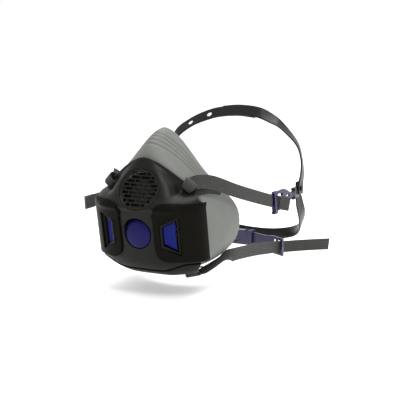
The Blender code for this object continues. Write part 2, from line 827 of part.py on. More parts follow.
def facepiece_ring(half, count):
    """A closed ring from its half outline, spaced evenly round."""
    points = half + [(-x, y, z) for x, y, z in reversed(half[1:-1])]
    loop = points[-2:] + points + points[:3]
    path = smooth_path(loop, 12 * len(loop))
    start = np.argmin(np.linalg.norm(path[: 3 * 12 + 6] - np.array(points[0]), axis=1))
    tail = len(path) // 2
    end = tail + np.argmin(np.linalg.norm(path[tail:] - np.array(points[0]), axis=1))
    closed = smooth_path(path[start : end + 1], count + 1)[:-1]
    return closed


def facepiece_grid(around, along):
    rings = np.array([facepiece_ring(half, around) for half in FACEPIECE_RINGS])
    return np.stack([smooth_path(rings[:, j], along) for j in range(around)], axis=1)


def make_facepiece():
    grid = facepiece_grid(40, 12)
    return shell("facepiece", grid, 0.0, 1.9, "silicone", wrap=True)


# ---------------------------------------------------------------- upper straps
EAR_PIN = np.array([74.5, 191.0, 14.6])
BUCKLE_BAR = np.array([68.3, 157.0, 10.5])


def to_side(side, knots):
    """Knots written for the wearer's left, moved to either side."""
    flip = np.array([side, 1, 1])
    return [(np.asarray(point, float) * flip, np.asarray(wide, float) * flip) for point, wide in knots]


def strap_loop_knots():
    """The webbing loop through the cover's slot, over its upper edge and back to the strap."""
    middle, run, out, upward = strap_slot_frame(1)
    wraps = [(-4.6, -0.4), (-1.0, 0.0), (2.2, 0.6), (3.5, 3.4), (2.6, 6.6), (-0.6, 8.2)]
    fold = [(middle + out * o + upward * u, run) for o, u in wraps]
    back = [
        ((43.5, 28.5, 46.6), (0.62, 0.30, -0.72)),
        ((46.6, 34.0, 48.0), (0.30, 0.20, -0.93)),
        ((48.0, 39.0, 48.0), (0.0, 0.05, -1.0)),
        ((48.0, 46.0, 46.8), (0.0, 0.10, -1.0)),
    ]
    return fold + back


UPPER_STRAP_KNOTS = [
    ((50.2, 38.5, 48.2), (0.0, 0.05, -1.0)),
    ((50.4, 46.5, 46.6), (0.0, 0.12, -1.0)),
    ((54.4, 58.0, 41.8), (0.0, 0.20, -1.0)),
    ((59.2, 79.0, 33.2), (0.0, 0.22, -1.0)),
    ((64.0, 116.0, 22.0), (0.0, 0.20, -1.0)),
    ((67.4, 150.0, 12.3), (0.0, 0.18, -1.0)),
]
LEFT_TAIL_KNOTS = [
    ((71.6, 157.6, 10.2), (0.0, 0.16, -1.0)),
    ((74.0, 160.6, 9.7), (0.0, 0.14, -1.0)),
    ((77.2, 165.5, 8.8), (0.0, 0.12, -1.0)),
]
RIGHT_TAIL_KNOTS = [
    ((71.8, 160.0, 10.2), (0.0, 0.16, -1.0)),
    ((73.0, 150.0, 11.6), (0.0, 0.12, -1.0)),
    ((76.2, 130.0, 14.2), (0.0, 0.08, -1.0)),
    ((81.0, 105.0, 15.8), (0.0, 0.06, -1.0)),
    ((86.0, 80.0, 15.4), (0.0, 0.02, -1.0)),
    ((89.0, 64.0, 14.2), (0.0, 0.0, -1.0)),
]


def end_tab(name, start, direction, wide, length):
    """The moulded grip on a strap's free end, with ribs across it."""
    along = unit(direction)
    across = unit(np.asarray(wide, float) - along * np.dot(wide, along))
    face = np.cross(along, across)
    start = np.asarray(start, float)
    tab = box(name, start + along * length / 2, (along, across, face), (length, WEBBING_WIDTH + 0.6, 1.9), "webbing")
    for rib in range(4):
        middle = start + along * (3.0 + rib * (length - 6.0) / 3)
        size = (1.2, WEBBING_WIDTH - 1.0, 3.1)
        join(tab, box(f"add_{name}_rib_{rib}", middle, (along, across, face), size, None, True))
    return tab


def make_upper_straps():
    tails = {"left": LEFT_TAIL_KNOTS, "right": RIGHT_TAIL_KNOTS}
    for side, label in ((1, "left"), (-1, "right")):
        band(f"{label}_strap_loop", to_side(side, strap_loop_knots()), WEBBING_WIDTH, WEBBING_THICKNESS, 24, "webbing")
        band(f"{label}_upper_strap", to_side(side, UPPER_STRAP_KNOTS), WEBBING_WIDTH, WEBBING_THICKNESS, 18, "webbing")
        tail = to_side(side, tails[label])
        band(f"{label}_upper_tail", tail, WEBBING_WIDTH, WEBBING_THICKNESS, 10, "webbing")
        end, wide = tail[-1]
        direction = unit(end - tail[-2][0])
        end_tab(f"{label}_upper_tab", end + direction * (GAP + 0.2), direction, wide, 13.0)


# ---------------------------------------------------------------- buckles at the cradle's ears
def buckle_axes(side):
    """Along the buckle from its pin to its strap bar, up, and out from the head."""
    flip = np.array([side, 1, 1])
    along = unit((BUCKLE_BAR - EAR_PIN) * flip)
    upward = unit(np.cross(np.cross(along, Z), along))
    return along, upward, np.cross(along, upward) * -side


def make_buckle(side, label):
    """A ladder buckle: a frame with two bars for the webbing, on a neck that turns on the cradle's pin."""
    along, upward, out = buckle_axes(side)
    pin = EAR_PIN * np.array([side, 1, 1])
    edge = [(-1.6, 2.3), (4.0, 2.3), (12.0, 3.6), (21.0, 9.0), (38.5, 9.0)]
    outline = [(along_pin, -half) for along_pin, half in edge] + edge[::-1]
    buckle = prism(f"{label}_buckle", outline, pin, (along, upward, out), -1.4, 1.4, "blue")
    knuckle = tube(f"add_{label}_knuckle", pin, (along, np.cross(Z, along), Z),
                   [(0, -3.0), (2.5, -3.0), (2.5, 3.0), (0, 3.0)], 16, None, True)
    join(buckle, knuckle)
    bore = tube(f"cut_{label}_knuckle", pin, (along, np.cross(Z, along), Z),
                [(0, -6), (1.3, -6), (1.3, 6), (0, 6)], 12, None, True)
    cut(buckle, bore)
    for number, (start, end) in enumerate(((24.0, 31.2), (34.0, 36.6))):
        window = prism(f"cut_{label}_buckle_window_{number}",
                       [(start, -7.2), (end, -7.2), (end, 7.2), (start, 7.2)],
                       pin, (along, upward, out), -4, 4, None, True)
        cut(buckle, window)
    tube(f"{label}_buckle_pin", pin, (along, np.cross(Z, along), Z),
         [(0, -6.4), (1.0, -6.4), (1.0, 6.4), (0, 6.4)], 12, "blue")


# ---------------------------------------------------------------- head cradle
CROWN_KNOTS = {
    "left": [
        ((75.4, 209.2, 11.5), (0.0, 1.0, 0.0)),
        ((75.4, 209.4, 23.0), (0.0, 1.0, 0.0)),
        ((76.2, 211.0, 34.0), (-0.12, 0.99, 0.0)),
        ((74.4, 213.0, 48.5), (-0.3, 0.94, 0.05)),
        ((68.0, 215.0, 64.0), (-0.22, 0.97, 0.05)),
        ((51.0, 217.0, 80.7), (0.04, 0.97, 0.2)),
        ((36.5, 218.0, 89.4), (0.0, 0.72, 0.69)),
    ],
    "right": [
        ((75.4, 209.2, 11.5), (0.0, 1.0, 0.0)),
        ((75.4, 209.4, 23.0), (0.0, 1.0, 0.0)),
        ((77.6, 209.5, 38.0), (0.05, 1.0, 0.0)),
        ((77.6, 208.8, 54.0), (0.2, 0.93, 0.25)),
        ((72.0, 209.0, 69.5), (0.36, 0.75, 0.5)),
        ((56.2, 212.5, 82.0), (0.48, 0.6, 0.64)),
        ((38.0, 217.0, 90.3), (0.25, 0.52, 0.81)),
    ],
}
BACK_KNOTS = [
    ((72.5, 209.3, 25.0), (0.0, 1.0, 0.0)),
    ((72.5, 209.4, 14.0), (0.0, 1.0, 0.0)),
    ((73.0, 213.0, 1.0), (0.2, 0.9, 0.3)),
    ((71.6, 224.0, -13.0), (0.3, 0.6, 0.75)),
    ((64.8, 240.0, -28.0), (0.2, 0.3, 0.9)),
    ((50.0, 258.0, -39.5), (0.1, 0.2, 0.95)),
    ((25.0, 273.0, -47.5), (0.05, 0.1, 1.0)),
    ((0.0, 278.0, -50.0), (0.0, 0.1, 1.0)),
]
CROWN_NORMAL = unit((0.0, -0.88, 0.47))  # square to the strip on top of the head, towards the mask
CROWN_LIFT = CRADLE_THICKNESS + 0.5
CROWN_HOLES = (-36.0, -57.0)  # spare holes in the right strip
PEG_PLACES = (-9.0, 9.0)
EAR_STUD_X = 74.2
EAR_ROOT = np.array([72.5, 209.3, 14.6])  # where the ear's arm meets the back strip


def crown_knots(side, lift):
    """A crown strip from its ear to just past the top of the head, clear of the other strip."""
    top = [
        ((22.0 * side, 218.3, 94.4), (0.0, 0.5, 0.87)),
        ((0.0, 218.5, 96.2), (0.0, 0.47, 0.88)),
        ((-20.0 * side, 218.3, 94.5), (0.0, 0.5, 0.87)),
    ]
    start = to_side(side, CROWN_KNOTS["left" if side > 0 else "right"])
    return start + [(np.array(point) + CROWN_NORMAL * lift, np.array(wide)) for point, wide in top]


def on_crown(x):
    """The point of the unlifted crown strip at a given x, and axes there with the strip's normal last."""
    knots = crown_knots(-1, 0.0)
    rows = smooth_path([[*point, *unit(wide)] for point, wide in knots], 200)
    tangents, across, normals = band_frames(rows[:, :3], rows[:, 3:])
    nearest = np.argmin(np.abs(rows[:, 0] - x))
    towards = -1.0 if normals[nearest][1] > 0 else 1.0
    return rows[nearest, :3], (tangents[nearest], across[nearest] * towards, normals[nearest] * towards)


def cut_stud_hole(strip, base, axes):
    cut(strip, tube(f"cut_{strip.name}_hole_{len(strip.modifiers)}", base, axes,
                    [(0, -6), (2.3, -6), (2.3, 6), (0, 6)], 14, None, True))


def stud(name, base, axes, reach=CRADLE_THICKNESS + 0.6):
    """A stud through two strips: a flat head on one face and a tapered end past the other."""
    tube(name, base, axes, [(0, -reach - 2.0), (1.6, -reach - 2.0), (1.95, -reach), (1.95, reach), (3.6, reach),
                            (3.6, reach + 1.4), (0, reach + 1.4)], 14, "cradle")


def make_cradle():
    """The head cradle: a strip round the back and a crown strip from each ear, pegged together."""
    back = BACK_KNOTS + to_side(-1, BACK_KNOTS[-2::-1])
    back_strip = band("back_strip", back, CRADLE_WIDTH, CRADLE_THICKNESS, 34, "cradle")
    for side, label, lift in ((1, "left", CROWN_LIFT), (-1, "right", 0.0)):
        crown = band(f"{label}_crown_strip", crown_knots(side, lift), CRADLE_WIDTH, CRADLE_THICKNESS, 20, "cradle")
        ear_axes = (Y, Z, (side, 0, 0))
        ear_stud = np.array([side * EAR_STUD_X, 209.4, 17.5])
        add_ear(back_strip, side, label)
        cut_stud_hole(back_strip, ear_stud, ear_axes)
        cut_stud_hole(crown, ear_stud, ear_axes)
        stud(f"{label}_ear_stud", ear_stud, ear_axes)
        for x in PEG_PLACES:
            point, axes = on_crown(x)
            if side > 0:
                profile = [(0, 2.4), (1.9, 2.4), (1.9, -1.6), (1.5, -2.6), (0, -2.6)]
                join(crown, tube(f"add_crown_peg_{x}", point, axes, profile, 14, None, True))
            else:
                cut_stud_hole(crown, point, axes)
    for x in CROWN_HOLES:
        cut_stud_hole(crown, *on_crown(x))


def add_ear(strip, side, label):
    """The strip's forked ear, which holds a buckle's pin."""
    flip = np.array([side, 1, 1])
    pin = EAR_PIN * flip
    level = unit((EAR_PIN - EAR_ROOT) * flip)
    turn = (level, np.cross(Z, level), Z)
    half = [(-19.0, 1.1), (-4.0, 1.2), (-1.6, 2.5), (1.4, 2.5), (2.7, 1.1)]
    outline = [(a, -b) for a, b in half] + [(a, b) for a, b in reversed(half)]
    join(strip, prism(f"add_{label}_ear", outline, pin, turn, -5.8, 5.8, None, True))
    cut(strip, box(f"cut_{label}_ear_notch", pin - level * 0.2, turn, (7.4, 12, 7.0), None, True))
    cut(strip, tube(f"cut_{label}_ear_bore", pin, turn, [(0, -9), (1.3, -9), (1.3, 9), (0, 9)], 10, None, True))


# ---------------------------------------------------------------- neck strap and its clasp
CLASP_Y = 208.0
NECK_LOOP_KNOTS = [
    ((27.0, 56.0, -40.9), (1.0, 0.0, 0.28)),
    ((27.0, 50.0, -40.2), (1.0, 0.0, 0.28)),
    ((27.0, 45.0, -40.5), (1.0, 0.0, 0.28)),
    ((27.0, 43.4, -44.4), (1.0, 0.0, 0.28)),
    ((27.0, 45.0, -47.8), (1.0, 0.0, 0.28)),
    ((27.0, 50.0, -48.8), (1.0, 0.0, 0.28)),
    ((27.0, 56.0, -47.7), (1.0, 0.0, 0.28)),
]
NECK_STRAP_KNOTS = [
    ((27.6, 57.8, -44.4), (1.0, 0.0, 0.28)),
    ((33.5, 61.2, -43.4), (0.95, -0.28, 0.1)),
    ((41.0, 67.0, -39.4), (0.9, -0.42, 0.0)),
    ((48.0, 74.5, -34.8), (0.8, -0.5, -0.3)),
    ((52.4, 84.0, -32.4), (0.35, -0.1, -0.9)),
    ((53.6, 100.0, -32.6), (0.0, 0.1, -1.0)),
    ((52.0, 140.0, -37.4), (0.0, 0.1, -1.0)),
    ((51.2, 180.0, -43.4), (0.0, 0.1, -1.0)),
    ((51.6, 203.6, -46.8), (0.0, 0.1, -1.0)),
]


CLASP_Z = -40.4
CLASP_SLOPE = -0.2
SOCKET_HALF_LENGTH = 18.0
SOCKET_CENTRE_X = 4.0


def clasp_plate_outline(side):
    """The adjuster plate of one half of the clasp, which slopes down from the socket to the strap's bars."""
    rows = [(24.6, 6.6), (40.0, 7.2), (45.5, 9.4), (57.0, 9.4)]
    lower = [(x, -h) for x, h in rows]
    upper = [(x, h) for x, h in reversed(rows)]
    return [(side * x, CLASP_Z + h + CLASP_SLOPE * (x - 20)) for x, h in lower + upper]


def clasp_windows(side, label):
    cutters = []
    for number, (start, end, half) in enumerate(((28.0, 33.0, 3.4), (46.6, 49.0, 7.2), (50.8, 54.2, 7.2))):
        corners = [(start, -half), (end, -half), (end, half), (start, half)]
        outline = [(side * x, CLASP_Z + h + CLASP_SLOPE * (x - 20)) for x, h in corners]
        name = f"cut_{label}_clasp_window_{number}"
        cutters.append(prism(name, outline, (0, CLASP_Y, 0), (X, Z, Y), -5, 5, None, True))
    return cutters


def make_clasp():
    """The neck clasp: a hook with a T-shaped head that slides down out of the socket's channel."""
    middle = np.array([SOCKET_CENTRE_X, CLASP_Y, CLASP_Z])
    hook = prism("clasp_hook", clasp_plate_outline(1), (0, CLASP_Y, 0), (X, Z, Y), -1.5, 1.5, "blue")
    neck = box("add_hook_neck", middle + (16.8, 0, 0), (X, Y, Z), (10.0, 2.0, 12.0), None, True)
    head = box("add_hook_head", middle + (10.6, 0, 0), (X, Y, Z), (3.0, 5.2, 12.0), None, True)
    join(hook, neck, head)
    cut(hook, *clasp_windows(1, "hook"))
    socket = box("clasp_socket", middle, (X, Y, Z), (2 * SOCKET_HALF_LENGTH, 8.8, 16.0), "blue")
    plate = prism("add_socket_plate", [(x if x < -25 else -12.0, z) for x, z in clasp_plate_outline(-1)],
                  (0, CLASP_Y, 0), (X, Z, Y), -1.5, 1.5, None, True)
    join(socket, plate)
    cavity = box("cut_socket_cavity", middle + (10.6, 0, 0), (X, Y, Z), (4.4, 6.4, 30), None, True)
    slit = box("cut_socket_slit", middle + (16.0, 0, 0), (X, Y, Z), (8.0, 3.2, 30), None, True)
    outline = ellipse_outline(6.6, 4.8, 20)
    dish = prism("cut_socket_dish", outline, middle - (3.0, 0, 0), FRONT_AXES, 3.2, 8, None, True)
    cut(socket, cavity, slit, dish, *clasp_windows(-1, "socket"))


NECK_TAIL_KNOTS = [
    ((53.0, 211.6, -48.2), (0.0, 0.1, -1.0)),
    ((56.0, 220.0, -49.2), (0.0, 0.1, -1.0)),
    ((66.0, 243.0, -51.2), (0.0, 0.1, -1.0)),
    ((84.0, 278.0, -54.8), (0.0, 0.1, -1.0)),
]


def make_neck_straps():
    for side, label in ((1, "left"), (-1, "right")):
        for piece, knots, count in (("loop", NECK_LOOP_KNOTS, 12), ("strap", NECK_STRAP_KNOTS, 22),
                                    ("tail", NECK_TAIL_KNOTS, 10)):
            band(f"{label}_neck_{piece}", to_side(side, knots), WEBBING_WIDTH, WEBBING_THICKNESS, count, "webbing")


def build():
    make_cover()
    for side, label in ((1, "left"), (-1, "right")):
        make_side_panel(side, label)
        make_port_ring(side, label)
        make_shutter(side, label)
        make_buckle(side, label)
    make_grille()
    make_speaking_diaphragm()
    make_button()
    make_button_spring()
    make_inner_frame()
    make_valves()
    make_chin_guard()
    make_facepiece()
    make_upper_straps()
    make_cradle()
    make_clasp()
    make_neck_straps()


build()
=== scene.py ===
"""Looks for the half-mask respirator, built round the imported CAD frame.

Lengths are millimetres in the part's drawing frame: +X to the wearer's left, +Y back towards the face and
+Z up, with (0, 0, 0) at the middle of the seal-check button. place() turns them into the frame's metres.
"""

import math

import bmesh
import bpy
import numpy as np
from mathutils import Matrix, Vector


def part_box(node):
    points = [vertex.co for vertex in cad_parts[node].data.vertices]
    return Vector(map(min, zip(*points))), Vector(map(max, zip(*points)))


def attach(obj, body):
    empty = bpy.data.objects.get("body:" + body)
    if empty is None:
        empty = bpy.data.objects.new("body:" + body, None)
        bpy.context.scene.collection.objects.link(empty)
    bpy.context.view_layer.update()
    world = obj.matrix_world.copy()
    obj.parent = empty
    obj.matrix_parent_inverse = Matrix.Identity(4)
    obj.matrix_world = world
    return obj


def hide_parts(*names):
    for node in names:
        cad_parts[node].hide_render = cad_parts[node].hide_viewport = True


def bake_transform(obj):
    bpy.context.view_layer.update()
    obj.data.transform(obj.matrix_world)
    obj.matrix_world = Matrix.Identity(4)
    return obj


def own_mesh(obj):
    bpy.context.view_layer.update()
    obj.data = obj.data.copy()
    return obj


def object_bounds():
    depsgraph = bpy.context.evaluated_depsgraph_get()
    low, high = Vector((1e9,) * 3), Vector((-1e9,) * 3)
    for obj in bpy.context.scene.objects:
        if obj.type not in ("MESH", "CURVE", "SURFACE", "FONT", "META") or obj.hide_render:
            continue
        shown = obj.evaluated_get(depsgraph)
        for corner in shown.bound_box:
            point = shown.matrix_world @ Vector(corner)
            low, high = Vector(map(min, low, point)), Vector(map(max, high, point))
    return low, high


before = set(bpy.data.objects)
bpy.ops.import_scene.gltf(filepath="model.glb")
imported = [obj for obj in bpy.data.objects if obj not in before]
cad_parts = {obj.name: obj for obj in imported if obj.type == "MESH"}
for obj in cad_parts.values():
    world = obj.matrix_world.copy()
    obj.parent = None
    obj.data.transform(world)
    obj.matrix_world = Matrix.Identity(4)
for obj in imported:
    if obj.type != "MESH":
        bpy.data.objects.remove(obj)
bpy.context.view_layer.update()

MM = 0.001
SIDES = ((1, "left"), (-1, "right"))
X, Y, Z = (1, 0, 0), (0, 1, 0), (0, 0, 1)
FRONT_AXES = (X, Z, (0, -1, 0))
BUTTON_CROWN = 2.6  # the dome stands this far in front of the drawing's origin
WEBBING_WIDTH = 12.7
WEBBING_THICKNESS = 1.4


def drawing_origin():
    """The drawing's origin in the frame's metres, from the seal-check button's box."""
    low, high = (np.array(corner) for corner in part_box("seal_check_button"))
    middle = (low + high) / 2
    return np.array([middle[0], low[1] + BUTTON_CROWN * MM, middle[2]])


ORIGIN = drawing_origin()


def place(points):
    """Drawing millimetres to the frame's metres."""
    return np.asarray(points, float) * MM + ORIGIN


# ---- mesh helpers
def unit(vector):
    vector = np.asarray(vector, float)
    return vector / np.linalg.norm(vector)


def new_mesh_object(name, points, faces, uvs=None):
    """An object from drawing points, its normals facing out, with an optional (length, width) map in mm."""
    mesh = bpy.data.meshes.new(name)
    mesh.from_pydata(place(points).tolist(), [], faces)
    if uvs is not None:
        layer = mesh.uv_layers.new(name="UVMap")
        corners = np.empty(len(mesh.loops), int)
        mesh.loops.foreach_get("vertex_index", corners)
        layer.data.foreach_set("uv", np.asarray(uvs, float)[corners].ravel())
    work = bmesh.new()
    work.from_mesh(mesh)
    bmesh.ops.remove_doubles(work, verts=work.verts, dist=1e-7)
    bmesh.ops.recalc_face_normals(work, faces=work.faces)
    if work.calc_volume(signed=True) < 0:
        bmesh.ops.reverse_faces(work, faces=work.faces)
    work.to_mesh(mesh)
    work.free()
    mesh.shade_smooth()
    obj = bpy.data.objects.new(name, mesh)
    bpy.context.scene.collection.objects.link(obj)
    return obj


def quads(rows, columns, first, wrap):
    count = columns if wrap else columns - 1
    faces = []
    for start in range(first, first + (rows - 1) * columns, columns):
        for c in range(count):
            a, b = start + c, start + (c + 1) % columns
            faces.append((a, b, b + columns, a + columns))
    return faces


def grid_normals(grid):
    along = np.gradient(grid, axis=0)
    across = np.gradient(grid, axis=1)
    normals = np.cross(along, across)
    return normals / np.maximum(np.linalg.norm(normals, axis=2, keepdims=True), 1e-9)


def wrapped_normals(grid):
    padded = np.concatenate([grid[:, -1:], grid, grid[:, :1]], axis=1)
    return grid_normals(padded)[:, 1:-1]


def shell(name, grid, inner, outer, wrap=False):
    """A closed wall between two offsets of a grid surface, along its normals."""
    rows, columns = grid.shape[:2]
    normals = wrapped_normals(grid) if wrap else grid_normals(grid)
    near = (grid + normals * inner).reshape(-1, 3)
    far = (grid + normals * outer).reshape(-1, 3)
    size = rows * columns
    faces = quads(rows, columns, 0, wrap)
    faces += [tuple(reversed(face)) for face in quads(rows, columns, size, wrap)]
    edges = [list(range(columns)), [(rows - 1) * columns + c for c in range(columns)]]
    if not wrap:
        edges += [[r * columns for r in range(rows)], [r * columns + columns - 1 for r in range(rows)]]
    for edge in edges:
        pairs = zip(edge, edge[1:] + edge[:1]) if wrap else zip(edge, edge[1:])
        faces += [(a, b, b + size, a + size) for a, b in pairs]
    return new_mesh_object(name, np.concatenate([near, far]), faces)


def prism(name, outline, base, axes, low, high):
    """An outline in axes[0] and axes[1], extruded from low to high along axes[2]."""
    base, u, v, w = np.asarray(base, float), *[unit(a) for a in axes]
    points = [base + u * a + v * b + w * h for h in (low, high) for a, b in outline]
    n = len(outline)
    faces = [tuple(range(n)), tuple(range(n, 2 * n))]
    faces += [(i, (i + 1) % n, n + (i + 1) % n, n + i) for i in range(n)]
    return new_mesh_object(name, points, faces)


def box(name, centre, axes, size):
    a, b, c = (s / 2 for s in size)
    return prism(name, [(-a, -b), (a, -b), (a, b), (-a, b)], centre, axes, -c, c)


def turned(name, base, axes, rings, sides=72):
    """A turned solid from rings of (radius, height), closed on itself. A radius of 0 is a pole."""
    base, u, v, w = np.asarray(base, float), *[unit(a) for a in axes]
    angles = [2 * math.pi * i / sides for i in range(sides)]
    points = [base + (u * math.cos(a) + v * math.sin(a)) * r + w * h for r, h in rings for a in angles]
    faces = []
    for k in range(len(rings)):
        nxt = (k + 1) % len(rings)
        if rings[k][0] == 0 and rings[nxt][0] == 0:
            continue
        for i in range(sides):
            j = (i + 1) % sides
            face = [k * sides + i, k * sides + j, nxt * sides + j, nxt * sides + i]
            if rings[k][0] == 0:
                face = [face[0], face[2], face[3]]
            elif rings[nxt][0] == 0:
                face = [face[0], face[1], face[2]]
            faces.append(tuple(face))
    return new_mesh_object(name, points, faces)


def smooth_path(points, count):
    """Rows spaced evenly by length on a smooth curve through the rows given, which start with x, y, z."""
    knots = np.asarray(points, float)
    padded = np.concatenate([[2 * knots[0] - knots[1]], knots, [2 * knots[-1] - knots[-2]]])
    fine = []
    for k in range(len(knots) - 1):
        a, b, c, d = padded[k : k + 4]
        for t in np.linspace(0, 1, 24, endpoint=False):
            cubic = (3 * b - a - 3 * c + d) * t**3
            fine.append(0.5 * (2 * b + (c - a) * t + (2 * a - 5 * b + 4 * c - d) * t**2 + cubic))
    fine.append(knots[-1])
    fine = np.array(fine)
    steps = np.linalg.norm(np.diff(fine[:, :3], axis=0), axis=1)
    length = np.concatenate([[0], np.cumsum(steps)])
    wanted = np.linspace(0, length[-1], count)
    return np.stack([np.interp(wanted, length, column) for column in fine.T], axis=1)


def bake_modifiers(obj):
    """Replaces an object's mesh with what its modifiers make of it."""
    evaluated = obj.evaluated_get(bpy.context.evaluated_depsgraph_get())
    mesh = bpy.data.meshes.new_from_object(evaluated)
    mesh.name = obj.name
    obj.modifiers.clear()
    obj.data = mesh
    return obj


def moulded(obj, cutters=(), additions=(), voxel=0.45, rounds=4):
    """Joins and cuts, then remeshes finely and smooths, which leaves the soft edges of a moulding."""
    for other, operation in [(a, "UNION") for a in additions] + [(c, "DIFFERENCE") for c in cutters]:
        modifier = obj.modifiers.new(other.name, "BOOLEAN")
        modifier.operation = operation
        modifier.object = other
        modifier.solver = "EXACT"
    remesh = obj.modifiers.new("remesh", "REMESH")
    remesh.mode = "VOXEL"
    remesh.voxel_size = voxel * MM
    remesh.use_smooth_shade = True
    soften = obj.modifiers.new("soften", "SMOOTH")
    soften.factor = 0.5
    soften.iterations = rounds
    bake_modifiers(obj)
    for helper in (*cutters, *additions):
        bpy.data.objects.remove(helper)
    obj.data.shade_smooth()
    return obj


def ride_as(obj, body, material, nodes):
    """Gives a finished piece its looks and its body, and hides the CAD nodes that it stands for."""
    obj.data.materials.clear()
    obj.data.materials.append(material)
    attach(obj, body)
    if nodes:
        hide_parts(*nodes)


def mirrored(half):
    """A closed outline from its upper half, symmetric about its length."""
    return [(a, -b) for a, b in half] + [(a, b) for a, b in reversed(half)]


def ease(t):
    return t * t * (3 - 2 * t)


# ---- materials
class Nodes:
    """Builds a material, with its noise textures in the object's own coordinates."""

    def __init__(self, name):
        self.material = bpy.data.materials.new(name)
        self.material.use_nodes = True
        self.tree = self.material.node_tree
        self.shader = self.tree.nodes["Principled BSDF"]
        self.coordinates = self.add("ShaderNodeTexCoord").outputs["Object"]

    def add(self, kind, inputs=(), **settings):
        node = self.tree.nodes.new(kind)
        for key, value in settings.items():
            setattr(node, key, value)
        for key, value in inputs:
            node.inputs[key].default_value = value
        return node

    def link(self, source, target):
        self.tree.links.new(source, target)

    def feed(self, source, socket):
        self.link(source, self.shader.inputs[socket])

    def set(self, values):
        """Sets the shader's own sockets."""
        for socket, value in values.items():
            self.shader.inputs[socket].default_value = value

    def noise(self, scale, detail=3.0):
        node = self.add("ShaderNodeTexNoise", [("Scale", scale), ("Detail", detail), ("Roughness", 0.55)])
        self.link(self.coordinates, node.inputs["Vector"])
        return node.outputs["Fac"]

    def math(self, operation, source, *others):
        """A Math node. Its other inputs are numbers or sockets."""
        node = self.add("ShaderNodeMath", operation=operation)
        self.link(source, node.inputs[0])
        for index, value in enumerate(others, 1):
            if isinstance(value, float):
                node.inputs[index].default_value = value
            else:
                self.link(value, node.inputs[index])
        return node.outputs[0]

    def ramp(self, factor, stops):
        node = self.add("ShaderNodeValToRGB")
        for element, (position, colour) in zip(node.color_ramp.elements, stops):
            element.position = position
            element.color = (*colour, 1.0)
        self.link(factor, node.inputs["Fac"])
        return node.outputs["Color"]

    def mottle(self, colour, spread, scale):
        """A base colour that drifts a little lighter and darker."""
        stops = [(0.3, [c * (1 - spread) for c in colour]), (0.7, [c * (1 + spread) for c in colour])]
        self.feed(self.ramp(self.noise(scale), stops), "Base Color")

    def spread(self, factor, low, high):
        node = self.add("ShaderNodeMapRange", [("To Min", low), ("To Max", high)])
        self.link(factor, node.inputs["Value"])
        return node.outputs["Result"]

    def bump(self, height, millimetres, strength, normal=None):
        node = self.add("ShaderNodeBump", [("Distance", millimetres * MM), ("Strength", strength)])
        self.link(height, node.inputs["Height"])
        if normal is not None:
            self.link(normal, node.inputs["Normal"])
        return node.outputs["Normal"]


def plastic(name, colour, roughness, grain, spread=0.10, specular=0.5, clarity=None):
    """Moulded plastic: faint mottling, a fine spark-eroded grain and uneven gloss."""
    nodes = Nodes(name)
    nodes.mottle(colour, spread, 60.0)
    nodes.feed(nodes.spread(nodes.noise(220.0), roughness - 0.06, roughness + 0.06), "Roughness")
    normal = nodes.bump(nodes.noise(3200.0, 1.0), grain, 0.6)
    nodes.feed(nodes.bump(nodes.noise(160.0, 2.0), 0.05, 0.3, normal), "Normal")
    nodes.set({"Specular IOR Level": specular})
    if clarity:
        nodes.set({"Transmission Weight": clarity, "IOR": 1.5})
    return nodes.material


def rubber(name, colour, roughness=0.55):
    """Silicone: soft light inside it, powdery sheen and a very fine matte texture."""
    nodes = Nodes(name)
    nodes.mottle(colour, 0.06, 35.0)
    nodes.feed(nodes.spread(nodes.noise(120.0), roughness - 0.05, roughness + 0.07), "Roughness")
    nodes.feed(nodes.bump(nodes.noise(2600.0, 2.0), 0.02, 0.5), "Normal")
    nodes.set({"Specular IOR Level": 0.3, "Subsurface Weight": 0.12, "Subsurface Scale": 0.002})
    nodes.set({"Sheen Weight": 0.06, "Sheen Roughness": 0.4})
    return nodes.material


STRAP_RIBS = 7
PICK_SPACING = 0.55


def webbing_material(name, colour):
    """Woven elastic: yarns along the strap and across it, from its own map of length and width in mm."""
    nodes = Nodes(name)
    split = nodes.add("ShaderNodeSeparateXYZ")
    nodes.link(nodes.add("ShaderNodeUVMap", uv_map="UVMap").outputs["UV"], split.inputs["Vector"])

    def yarns(axis, per_mm):
        turn = nodes.math("MULTIPLY_ADD", split.outputs[axis], 2 * math.pi * per_mm, 0.0)
        return nodes.math("MULTIPLY_ADD", nodes.math("SINE", turn), 0.5, 0.5)

    ribs = yarns("Y", STRAP_RIBS / WEBBING_WIDTH)
    picks = yarns("X", 1 / PICK_SPACING)
    # Base colour darker in the grooves of the rib bump and lighter on its crests, as painted shade and
    # highlight, with a random drift in tone.
    rib_shade_and_drift = nodes.math("MULTIPLY", nodes.spread(ribs, 0.35, 1.0), nodes.spread(nodes.noise(90.0), 0.6, 1.2))
    stops = [(0.25, [c * 0.62 for c in colour]), (0.85, [c * 1.22 for c in colour])]
    nodes.feed(nodes.ramp(rib_shade_and_drift, stops), "Base Color")
    normal = nodes.bump(nodes.math("MULTIPLY", ribs, picks), 0.10, 0.8)
    normal = nodes.bump(ribs, 0.12, 0.8, normal)
    nodes.feed(nodes.bump(nodes.noise(4200.0, 2.0), 0.04, 0.6, normal), "Normal")
    nodes.set({"Roughness": 0.82, "Sheen Weight": 0.10, "Specular IOR Level": 0.25})
    return nodes.material


def steel(name):
    nodes = Nodes(name)
    nodes.mottle((0.56, 0.56, 0.57), 0.08, 300.0)
    nodes.feed(nodes.spread(nodes.noise(900.0), 0.2, 0.36), "Roughness")
    nodes.set({"Metallic": 1.0})
    return nodes.material


